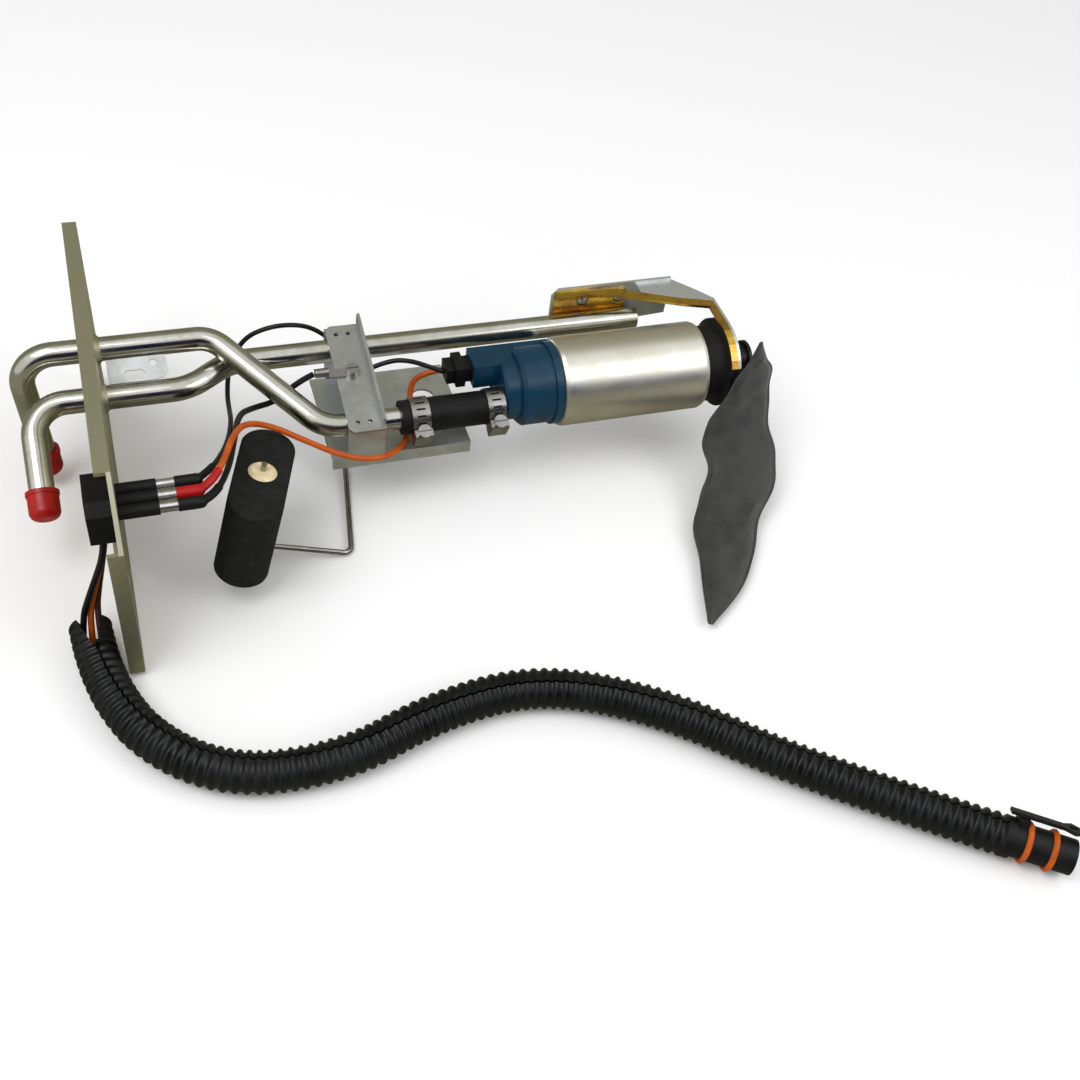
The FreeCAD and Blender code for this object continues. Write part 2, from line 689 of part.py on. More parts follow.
def make_hose():
    """Short pump hose with a worm clamp at each end and their screws."""
    outer = nipple_radius + hose_wall
    body = new_body("pump_hose")
    length = pump_x - outlet_depth - hose_start_x
    sketch = new_sketch(body, "YZ_Plane")
    circle(sketch, 0, 0, outer)
    pad(body, sketch, length)
    tube_bore = new_sketch(body, "YZ_Plane")
    circle(tube_bore, 0, 0, tube_radius)
    pocket(body, tube_bore, feed_end_x - hose_start_x, True)
    bore = new_sketch(body, "YZ_Plane", feed_end_x - hose_start_x)
    circle(bore, 0, 0, nipple_radius)
    pocket(body, bore, length, True)
    place(body, hose_start_x, hose_y, hose_z)
    screws = []
    for label, at in (("hose_clamp_front", clamp_front_x), ("hose_clamp_rear", clamp_rear_x)):
        inner, width = outer.value, clamp_width.value
        band = Part.makeCylinder(inner + clamp_band.value, width)
        housing = Part.makeBox(9, 4.6, width, Vector(-4.5, inner + 0.2, 0))
        housing = housing.makeFillet(1.2, [e for e in housing.Edges if abs(e.tangentAt(e.FirstParameter).z) > 0.9])
        ring = band.fuse(housing).cut(Part.makeCylinder(inner, width))
        for turn in range(12):
            slot = Part.makeBox(0.8, 3, width * 0.5, Vector(-0.4, inner - 1, width * 0.25))
            slot.rotate(Vector(), Vector(0, 0, 1), 120 + turn * 22)
            ring = ring.cut(slot)
        screw_bore = Part.makeCylinder(1.6, 12, Vector(-6, inner + 2.7, width / 2), Vector(1, 0, 0))
        ring = ring.cut(screw_bore)
        screw = Part.makeCylinder(1.6, 9, Vector(-4.5, inner + 2.7, width / 2), Vector(1, 0, 0))
        head = Part.makeCylinder(2.8, 2.6, Vector(4.5, inner + 2.7, width / 2), Vector(1, 0, 0))
        head = head.cut(Part.makeBox(1, 0.7, 6, Vector(6.4, inner + 2.35, width / 2 - 3)))
        screw = screw.fuse(head)
        spot = FreeCAD.Placement(Vector(at.value, hose_y.value, hose_z.value),
                                 Rotation(Vector(1, 0, 0), clamp_turn.value) * ALONG_X)
        shape_at(label, ring.removeSplitter(), spot)
        screws.append(screw.transformed(spot.toMatrix()))
    shape_part("hose_clamp_screws", Part.makeCompound(screws))


def make_pump():
    """The turbine pump: can, outlet head, motor, impeller stage and inlet head."""
    lip = can_radius - can_wall - can_lip
    turned("pump_can", [(0, can_radius - 2), (0.6, can_radius - 0.6), (2, can_radius),
                        (can_length - 2, can_radius), (can_length - 0.6, can_radius - 0.6),
                        (can_length, can_radius - 2), (can_length, lip), (can_length - can_wall, lip),
                        (can_length - can_wall, can_radius - can_wall), (can_wall, can_radius - can_wall),
                        (can_wall, lip), (0, lip)], pump_x, 0, 0)
    inside = can_radius - can_wall
    head_end = can_wall + outlet_disc
    cap = new_body("pump_outlet_cap")
    outline = new_sketch(cap, "XY_Plane")
    polygon(outline, [(-outlet_depth, 0), (-outlet_depth, outlet_nose - 1), (1 - outlet_depth, outlet_nose),
                      (-outlet_step, outlet_nose), (-outlet_step, outlet_radius - 2.5),
                      (1.5 - outlet_step, outlet_radius - 1), (-3, outlet_radius - 1), (-3, outlet_radius), (0, outlet_radius), (0, lip), (can_wall, lip),
                      (can_wall, inside), (head_end, inside), (head_end, 0)])
    revolve(cap, outline)
    nipple = new_sketch(cap, "YZ_Plane", -outlet_depth)
    circle(nipple, hose_y, hose_z, nipple_radius)
    pad(cap, nipple, nipple_length, True)
    socket = new_sketch(cap, "YZ_Plane", -3)
    rectangle(socket, socket_y, socket_z, socket_y + socket_width, socket_z + socket_height)
    pad(cap, socket, socket_reach, True)
    tongue = new_sketch(cap, "YZ_Plane", head_end)
    for side in (-1, 1):
        rectangle(tongue, -brush_width / 2 - 2, side * (commutator_radius + 1),
                  brush_width / 2 + 2, side * (inside - 1))
    pad(cap, tongue, commutator_length)
    guides = new_sketch(cap, "YZ_Plane", head_end + commutator_length)
    for side in (-1, 1):
        rectangle(guides, -brush_width / 2, side * commutator_radius, brush_width / 2, side * (inside - 0.5))
    pocket(cap, guides, commutator_length - 1)
    bearing = new_sketch(cap, "YZ_Plane", head_end)
    circle(bearing, 0, 0, bearing_radius)
    pocket(cap, bearing, bearing_length + 1)
    for y, z in ((hose_y, hose_z), (relief_y, relief_z)):
        seat = new_sketch(cap, "YZ_Plane", head_end)
        circle(seat, y, z, seat_radius)
        pocket(cap, seat, outlet_depth + nipple_length + head_end)
        chamber = new_sketch(cap, "YZ_Plane", head_end - 3)
        circle(chamber, y, z, valve_bore)
        pocket(cap, chamber, valve_length)
    wires = new_sketch(cap, "YZ_Plane", -3 - socket_reach)
    rectangle(wires, socket_y + 2, socket_z + 2, socket_y + socket_width - 2, socket_z + socket_height - 2)
    pocket(cap, wires, socket_reach - 3, True)
    place(cap, pump_x, 0, 0)

    plug = new_body("pump_connector_plug")
    shell = new_sketch(plug, "YZ_Plane", -3 - socket_reach - plug_proud)
    rectangle(shell, socket_y + 2 + fit_gap, socket_z + 2 + fit_gap,
              socket_y + socket_width - 2 - fit_gap, socket_z + socket_height - 2 - fit_gap)
    pad(plug, shell, plug_proud + socket_reach - 4)
    shoulder = new_sketch(plug, "YZ_Plane", -3.2 - socket_reach - plug_proud / 2)
    rectangle(shoulder, socket_y + 0.8, socket_z + 0.8, socket_y + socket_width - 0.8,
              socket_z + socket_height - 0.8)
    pad(plug, shoulder, plug_proud / 2)
    place(plug, pump_x, 0, 0)

    valves = ((hose_y, hose_z, "check_valve"), (relief_y, relief_z, "relief_valve"))
    seat_x = (head_end - 3).value
    drop = math.sqrt(ball_radius.value ** 2 - seat_radius.value ** 2)
    for y, z, name in valves:
        centre = pump_x.value + seat_x - drop
        ball = doc.addObject("Part::Sphere", name + "_sphere")
        bind(ball, Radius=ball_radius)
        place(ball, centre, y, z)
        finish(ball, name + "_ball")
        start = seat_x - valve_length.value
        length = seat_x - drop - ball_radius.value - start
        spring = coil_spring(ball_radius.value - spring_wire.value, spring_wire.value, length - 0.1, 3)
        shape_part(name + "_spring", spring, pump_x.value + start, y, z, ALONG_X)

    bush_start = head_end - bearing_length
    plate_start = motor_start + magnet_length
    chamber_start = plate_start + chamber_length
    bushes = []
    for at in (bush_start.value, plate_start.value):
        bush = Part.makeCylinder(bearing_radius.value, min(bearing_length.value, chamber_length.value),
                                 Vector(at, 0, 0), Vector(1, 0, 0))
        bushes.append(bush.cut(Part.makeCylinder((shaft_radius + running_gap).value, 20,
                                                 Vector(at - 5, 0, 0), Vector(1, 0, 0))))
    shape_part("pump_bearings", Part.makeCompound(bushes), pump_x)
    shaft = doc.addObject("Part::Cylinder", "shaft_bar")
    bind(shaft, Radius=shaft_radius, Height=chamber_start + impeller_width + 2 - bush_start)
    place(shaft, pump_x + bush_start, 0, 0, ALONG_X)
    finish(shaft, "pump_shaft")

    commutator_start = head_end + 0.5
    ring = Part.makeCylinder(commutator_radius.value - 0.05, commutator_length.value - 0.5,
                             Vector(commutator_start.value, 0, 0), Vector(1, 0, 0))
    for i in range(8):
        slit = Part.makeBox(commutator_length.value, 0.4, 1.0,
                            Vector(commutator_start.value, -0.2, commutator_radius.value - 0.9))
        slit.rotate(Vector(), Vector(1, 0, 0), i * 45 + 22.5)
        ring = ring.cut(slit)
    ring = ring.cut(Part.makeCylinder(shaft_radius.value, 80, Vector(), Vector(1, 0, 0)))
    shape_part("pump_commutator", ring, pump_x)

    armature_start = motor_start + (magnet_length - armature_length) / 2
    stack = Part.makeCylinder(armature_radius.value, armature_length.value,
                              Vector(armature_start.value, 0, 0), Vector(1, 0, 0))
    for i in range(8):
        slot = Part.makeBox(armature_length.value, 1.6, 6,
                            Vector(armature_start.value, -0.8, armature_radius.value - 5))
        slot.rotate(Vector(), Vector(1, 0, 0), i * 45)
        stack = stack.cut(slot)
    stack = stack.cut(Part.makeCylinder(shaft_radius.value, 80, Vector(), Vector(1, 0, 0)))
    shape_part("pump_armature", stack, pump_x)

    shell = Part.makeCylinder(inside.value, magnet_length.value, Vector(motor_start.value, 0, 0), Vector(1, 0, 0))
    shell = shell.cut(Part.makeCylinder(magnet_inner.value, magnet_length.value,
                                        Vector(motor_start.value, 0, 0), Vector(1, 0, 0)))
    shell = shell.cut(Part.makeBox(80, 80, 5, Vector(0, -40, -2.5)))
    shape_part("pump_magnets", shell, pump_x)

    brushes, springs = [], []
    width = brush_width.value - 0.1
    depth = commutator_length.value - 1.1
    for side in (1, -1):
        block = Part.makeBox(depth, width, brush_height.value,
                             Vector(head_end.value + 1.0, -width / 2, commutator_radius.value + 0.03))
        length = inside.value - commutator_radius.value - brush_height.value - 0.1
        spring = coil_spring(1.5, 0.25, length - 0.2, 4)
        spring.translate(Vector(head_end.value + 1.0 + depth / 2, 0,
                                commutator_radius.value + brush_height.value + 0.1))
        if side < 0:
            block.rotate(Vector(), Vector(1, 0, 0), 180)
            spring.rotate(Vector(), Vector(1, 0, 0), 180)
        brushes.append(block)
        springs.append(spring)
    shape_part("pump_brushes", Part.makeCompound(brushes), pump_x)
    shape_part("brush_springs", Part.makeCompound(springs), pump_x)

    turned("pump_chamber_plate", [(plate_start, bearing_radius), (chamber_start, bearing_radius),
                                  (chamber_start, impeller_radius + impeller_gap),
                                  (chamber_start + impeller_width + 2 * impeller_gap, impeller_radius + impeller_gap),
                                  (chamber_start + impeller_width + 2 * impeller_gap, inside),
                                  (plate_start, inside)], pump_x, 0, 0)
    disc = Part.makeCylinder(impeller_radius.value, impeller_width.value,
                             Vector((chamber_start + impeller_gap).value, 0, 0), Vector(1, 0, 0))
    for i in range(24):
        vane = Part.makeBox(impeller_width.value, 1.6, 3.2,
                            Vector((chamber_start + impeller_gap).value, -0.8, impeller_radius.value - 2.2))
        vane.rotate(Vector(), Vector(1, 0, 0), i * 15)
        disc = disc.cut(vane)
    disc = disc.cut(Part.makeCylinder(shaft_radius.value, 100, Vector(), Vector(1, 0, 0)))
    shape_part("pump_impeller", disc, pump_x)

    inlet_start = chamber_start + impeller_width + 2 * impeller_gap
    inlet = turned("pump_inlet_head", [
        (inlet_start, 0), (inlet_start, inside), (can_length - can_wall, inside), (can_length - can_wall, lip),
        (can_length, lip), (can_length, inlet_radius), (can_length + inlet_length, inlet_radius),
        (can_length + inlet_length, 0)], pump_x, 0, 0)
    port = new_sketch(inlet, "YZ_Plane", can_length + inlet_length)
    circle(port, 0, 0, inlet_bore)
    pocket(inlet, port, inlet_length + 2)
    throat = new_sketch(inlet, "YZ_Plane", inlet_start)
    circle(throat, 0, 0, shaft_radius + 0.3)
    pocket(inlet, throat, inlet_length, True)


def make_saddle():
    """Yellow-zinc saddle behind the pump with its end strap, backing plate, rivets and isolator."""
    outside = rear_y + tube_radius
    lip_in = outside + sheet_metal
    start, end = pump_x + saddle_start, pump_x + strap_x
    floor, inner = saddle_high - sheet_metal, saddle_high - sheet_metal
    edge = [(start, lip_in), (start + 15, lip_in), (start + 28, lip_in - 2.3), (start + 38, lip_in - 6.3),
            (end - 14, lip_in - 12.9), (end, lip_in - 17.1)]
    turns = [math.radians(90 + 10 * i) for i in range(7)]

    def strap(body, near, width):
        """A band over the end of the pump, from a flat on top round to the viewer's side."""
        sketch = new_sketch(body, "YZ_Plane", near)
        polygon(sketch, [(lip_in - 17.1, saddle_high)]
                + [(saddle_high * round(math.cos(a), 6), saddle_high * round(math.sin(a), 6)) for a in turns]
                + [(inner * round(math.cos(a), 6), inner * round(math.sin(a), 6)) for a in reversed(turns)]
                + [(lip_in - 17.1, inner)])
        pad(body, sketch, width, True)

    body = new_body("pump_saddle")
    web = new_sketch(body, "XY_Plane", saddle_low)
    rectangle(web, start, outside, start + 33, lip_in)
    pad(body, web, floor - saddle_low)
    ledge = new_sketch(body, "XY_Plane", floor)
    polygon(ledge, edge + [(x, y - saddle_lip) for x, y in reversed(edge)])
    pad(body, ledge, sheet_metal)
    strap(body, end, strap_band)

    plate = new_body("hanger_plate")
    side = new_sketch(plate, "XZ_Plane", -lip_in)
    polygon(side, [(start - 1, -1), (end - 13.5, 3), (end - 13.5, saddle_high + 1.4), (start + 2, saddle_high + 1),
                   (start - 1, saddle_high - 2)])
    pad(plate, side, sheet_metal, True)
    apron = new_sketch(plate, "XY_Plane", floor)
    polygon(apron, edge[3:] + [(end + strap_rim, lip_in - 17.1), (end + strap_rim, lip_in - 15.5),
                               (end - 4.5, lip_in - 8.5), (end - 13.5, lip_in + sheet_metal),
                               (start + 38, lip_in + sheet_metal)])
    pad(plate, apron, sheet_metal)
    strap(plate, end + strap_rim, strap_rim)

    rivets = []
    for along in (23, 40):
        head = Part.makeSphere(3.2, Vector(0, 0, -1.6), Vector(0, 0, 1)).common(
            Part.makeBox(10, 10, 5, Vector(-5, -5, 0)))
        head.rotate(Vector(), Vector(1, 0, 0), 90)
        head.translate(Vector(pump_x.value + along, outside.value, saddle_high.value - 5))
        rivets.append(head)
        tail = Part.makeCylinder(1.8, 1.2, Vector(pump_x.value + along, (lip_in + sheet_metal).value,
                                                  saddle_high.value - 5), Vector(0, 1, 0))
        rivets.append(tail)
    shape_part("saddle_rivets", Part.makeCompound(rivets))
    seat = inner - 0.1
    turned("pump_isolator", [(can_length, inlet_radius), (can_length, can_radius - 3),
                             (strap_x - strap_band - 1, can_radius - 2), (strap_x - strap_band, seat),
                             (strap_x, seat), (strap_x + 2, can_radius - 6), (strap_x + 2, inlet_radius)],
           pump_x, 0, 0)


def make_strainer():
    """Strainer fitting pushed on the inlet and the sock that drapes down to the table."""
    start = pump_x + strap_x + 2
    length, ring = strainer_ring_length, strainer_ring
    fitting = turned("strainer_fitting", [(0, inlet_radius), (0, ring), (1.5, ring), (1.5, ring - 1.4),
                                          (length - 1.5, ring - 1.4), (length - 1.5, ring), (length, ring),
                                          (length, 0), (length - 1.5, 0), (length - 1.5, inlet_radius)],
                     start, 0, 0)
    neck = new_sketch(fitting, "YZ_Plane", 1.5)
    rectangle(neck, -18.5, -4, 1 - ring, 3)
    pad(fitting, neck, 4.5)
    at = start.value
    stations = [((at + 4.5, -18.7, 6.5), (0.1, -0.35, -1), 10.5, 0.5),
                ((at + 2.5, -22, -7), (0.1, -0.5, -1), 14.5, 0.9),
                ((at - 1, -31, -20), (-0.1, -1, -0.9), 16.0, 1.0),
                ((at - 4.2, -44, -30), (-0.15, -1, -0.6), 16.0, 1.0),
                ((at - 14.7, -62, -36.5), (-0.4, -1, -0.2), 14.0, 1.0),
                ((at - 26.9, -85, -38.8), (-0.5, -1, 0), 10.0, 1.0),
                ((at - 43.2, -110, -39.3), (-0.6, -1, 0), 4.0, 0.9)]
    sections = []
    for spot, along, half, share in stations:
        along = Vector(*along).normalize()
        across = Vector(-along.y, along.x, 0).normalize()
        up = along.cross(across) if along.cross(across).z > 0 else across.cross(along)
        thick = sock_half_thickness.value * share
        section = [Vector(*spot) + across * (half * u) + up * (thick * v)
                   for u, v in ((-1, 0), (-0.55, 0.95), (0.55, 0.95), (1, 0), (0.55, -0.95), (-0.55, -0.95))]
        sections.append(Part.makePolygon(section + section[:1]))
    sock = Part.makeLoft(sections, True, True)
    sock = sock.cut(Part.makeBox(4.52, 20, 7.02, Vector(at + 1.49, -18.51, -4.01)))
    shape_part("strainer_sock", sock)


PLUG_TIP = pump_x - 3 - socket_reach - plug_proud
LOOM_ROUTE = [(-17, -64), (-15, -101), (16, -139), (60, -144), (100, -129), (140, -126), (182, -147),
              (224, -187), (plug_x, plug_y)]
ORANGE_ROUTE = [(27.7, block_y, block_z), (33, -55, 23), (39, -45, 24), (44, -31, 22), (50, -20, 17),
                (60, -16, 10), (72, -19, 3), (88, -25, -4), (103, -23, -9), (113, -15, -11.2), (118, -5, -11.2),
                (121, 6, -8.5), (122, 11, -1.5), (126.5, 11, 3.5), (PLUG_TIP - 0.5, 9.2, 6)]
BLACK_ROUTE = [(27.7, block_y - pin_spacing, block_z), (33, -60, 21), (40, -44, 17), (45, -24, 14), (49, -6, 9),
               (56, 5, 1.5), (66, 10, -1), (75, 12, 6), (81.2, 10.5, 10.4)]
ARCH_ROUTE = [(27.7, block_y + pin_spacing, block_z), (32, -48, 21), (38, -36, 16), (43, -22, 11.5), (46, -6, 6),
              (47, 9, -2), (48, 24, -6), (51, 37, -2), (58, 41, 8), (68, 39, 14), (78, 38, 15), (87, 42, 9),
              (95, 44, 0), (102, 42, -10), (109, 34, -18), (110, 18.2, -19)]
GROUND_ROUTE = [(PLUG_TIP - 0.5, 4.6, 8.6), (128, 4.6, 12.5), (120, 7, 15), (112.5, 9.5, 14), (105.9, 10, 11.1)]
HARNESS_ROUTE = [(-6.1, 13.3), (-6.6, 2), (-10, -10), (-13.5, -21), (-16.5, -31), (-17, -39.3)]
HARNESS_DEPTH = [0, 0, -0.5, -1.5, -3.5, -11]


def make_wiring():
    """Loose wires, the corrugated loom on the table and the plug at its end."""
    table = table_z.value + loom_radius.value
    cord("loom_tube", [(x, y, table) for x, y in LOOM_ROUTE], loom_radius, loom_radius - loom_wall)
    along = Vector(LOOM_ROUTE[-1][0].value - LOOM_ROUTE[-2][0], LOOM_ROUTE[-1][1].value - LOOM_ROUTE[-2][1], 0)
    heading = Rotation(Vector(1, 0, 0), along) * Rotation(Vector(1, 0, 0), -plug_roll.value)
    tip = Vector(plug_x.value, plug_y.value, table)
    shell = Part.makeCylinder(plug_radius.value, plug_length.value, Vector(), Vector(1, 0, 0))
    shell = shell.fuse(Part.makeCylinder((loom_radius - 0.2).value, 3, Vector(), Vector(1, 0, 0)))
    shell = shell.fuse(Part.makeBox(4, 6, 3.5, Vector(3, -3, plug_radius.value - 1.2)))
    shell = shell.cut(Part.makeCylinder(plug_socket.value, plug_socket_depth.value,
                                        Vector((plug_length - plug_socket_depth).value, 0, 0), Vector(1, 0, 0)))
    shape_part("plug_body", shell.removeSplitter(), *tip, heading)
    rings = []
    for at in (8.0, 17.0):
        low, high, half = plug_radius.value, loom_radius.value, seal_cord.value
        section = [Vector(at - half, low, 0), Vector(at - half, high - 0.5, 0), Vector(at - 0.4, high, 0),
                   Vector(at + 0.4, high, 0), Vector(at + half, high - 0.5, 0), Vector(at + half, low, 0)]
        rings.append(Part.Face(Part.makePolygon(section + section[:1])).revolve(Vector(), Vector(1, 0, 0), 360))
    shape_part("plug_seals", Part.makeCompound(rings), *tip, heading)
    contacts = []
    for i in range(3):
        angle = math.radians(90 + 120 * i)
        contacts.append(Part.makeCylinder(0.8, 9, Vector((plug_length - plug_socket_depth).value,
                                                         2.6 * math.cos(angle), 2.6 * math.sin(angle)),
                                          Vector(1, 0, 0)))
    shape_part("plug_contacts", Part.makeCompound(contacts), *tip, heading)
    latch_z = plug_radius.value + 2.6
    lever = Part.makeBox(latch_length.value - 7, 4.4, 1.3, Vector(0, -2.2, latch_z))
    head = Part.Face(Part.makePolygon([Vector(latch_length.value - 10, 0, latch_z),
                                       Vector(latch_length.value - 4, -4.6, latch_z),
                                       Vector(latch_length.value + 2, 0, latch_z),
                                       Vector(latch_length.value - 4, 4.6, latch_z),
                                       Vector(latch_length.value - 10, 0, latch_z)])).extrude(Vector(0, 0, 1.3))
    window = Part.makeBox(3, 3, 4, Vector(latch_length.value - 5.5, -1.5, latch_z - 1))
    lever = lever.fuse(head).cut(window).removeSplitter()
    shape_part("plug_latch", lever, *tip, heading)
    cord("orange_wire", ORANGE_ROUTE, wire_thickness / 2)
    cord("black_wire", BLACK_ROUTE, wire_thickness / 2)
    cord("sender_wire", ARCH_ROUTE, wire_thickness / 2 - 0.2)
    cord("pump_ground_wire", GROUND_ROUTE, wire_thickness / 2 - 0.2)
    last = len(HARNESS_ROUTE) - 1
    for step, label in ((-1, "harness_wire_black"), (0, "harness_wire_orange"), (1, "harness_wire_brown")):
        route = [(x + step * 3.3 * i / last, block_y.value + down + step * pin_spacing.value * (1 - i / last), z)
                 for i, ((x, z), down) in enumerate(zip(HARNESS_ROUTE, HARNESS_DEPTH))]
        cord(label, route, wire_thickness / 2)


def main():
    make_flange()
    feed, back = feed_points(), return_points()
    bend = tube_bend.value
    make_tube("feed_tube", feed, [bend, bend, bend + 3])
    make_tube("return_tube", back, [bend, bend + 8, bend + 8])
    make_cap("feed_tube_cap", feed)
    make_cap("return_tube_cap", back)
    make_braze()
    make_hanger_strap()
    make_terminal_block()
    make_mid_bracket()
    make_sender()
    make_hose()
    make_pump()
    make_saddle()
    make_strainer()
    make_wiring()


main()
doc.recompute()
for item in doc.Objects:
    if "Invalid" in item.State or "Error" in item.State:
        raise RuntimeError("%s failed: %s" % (item.Label, item.State))
os.makedirs("parts", exist_ok=True)
for item in made:
    if item.Shape.isNull() or not item.Shape.isValid():
        raise RuntimeError("%s has no valid shape" % item.Label)
    item.Shape.exportStep("parts/%s.step" % item.Label)
print(len(made), "nodes")
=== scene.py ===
"""Looks of an electric in-tank fuel pump on its flanged hanger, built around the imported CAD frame.

Everything is in metres, in the frame of the CAD: the origin is the centre of the flange's inboard
face, +X runs inboard along the hanger, +Y across the flange and +Z up.
"""

import logging
import math
from collections.abc import Sequence
from dataclasses import dataclass, field
from enum import Enum

import bpy
from mathutils import Matrix, Vector


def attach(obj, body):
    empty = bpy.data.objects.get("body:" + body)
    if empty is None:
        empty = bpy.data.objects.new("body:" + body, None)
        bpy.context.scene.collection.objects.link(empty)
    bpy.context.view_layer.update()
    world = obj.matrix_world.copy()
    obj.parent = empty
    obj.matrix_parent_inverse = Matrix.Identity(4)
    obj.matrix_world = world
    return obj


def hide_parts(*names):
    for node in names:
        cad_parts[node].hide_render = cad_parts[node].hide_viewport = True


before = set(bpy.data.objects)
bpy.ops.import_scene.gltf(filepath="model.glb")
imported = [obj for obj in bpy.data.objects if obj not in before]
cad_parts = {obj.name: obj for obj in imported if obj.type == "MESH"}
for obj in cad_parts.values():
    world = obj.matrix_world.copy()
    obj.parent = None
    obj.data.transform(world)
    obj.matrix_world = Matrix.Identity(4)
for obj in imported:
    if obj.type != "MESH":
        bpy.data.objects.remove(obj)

LOG = logging.getLogger("fuel_pump")
MM = 0.001
ROOT_BODY = "hanger"
TABLE_Z = -43.0 * MM
TINY = 1e-9
UPWARD = Vector((0, 0, 1))
Point = tuple[float, float, float]


def linear(code: str) -> tuple[float, float, float, float]:
    """Turn an sRGB hex colour into the linear values that shaders take.

    Args:
        code: six hex digits, with or without a leading hash.

    Returns:
        Linear red, green, blue and an alpha of 1.
    """
    digits = code.lstrip("#")
    parts = [int(digits[i:i + 2], 16) / 255 for i in (0, 2, 4)]
    r, g, b = [c / 12.92 if c <= 0.04045 else ((c + 0.055) / 1.055) ** 2.4 for c in parts]
    return r, g, b, 1.0


def add_node(tree: bpy.types.NodeTree, kind: str, inputs: dict | None = None, **settings: object) -> bpy.types.Node:
    """Add one node to a tree, with its settings, its socket values and its links.

    Args:
        tree: the node tree.
        kind: Blender's type name for the node.
        inputs: for each input socket, a value or the output socket that feeds it.
        settings: properties of the node itself.

    Returns:
        The new node.
    """
    node = tree.nodes.new(kind)
    for name, value in settings.items():
        setattr(node, name, value)
    for name, value in (inputs or {}).items():
        socket = node.inputs[name]
        if isinstance(value, bpy.types.NodeSocket):
            tree.links.new(value, socket)
        else:
            socket.default_value = value
    return node


class Texture(Enum):
    """What the surface of a finish shows close up."""

    GRAIN = "fine even grain"
    DRAWN = "lines left by drawing or rolling"
    WEAVE = "plain woven mesh"
    CELLS = "closed foam cells"


class Lay(Enum):
    """The direction in which drawn lines run."""

    ALONG_X = (0.06, 1.0, 1.0)
    AROUND_X = (1.0, 0.06, 0.06)
    EVEN = (1.0, 1.0, 1.0)


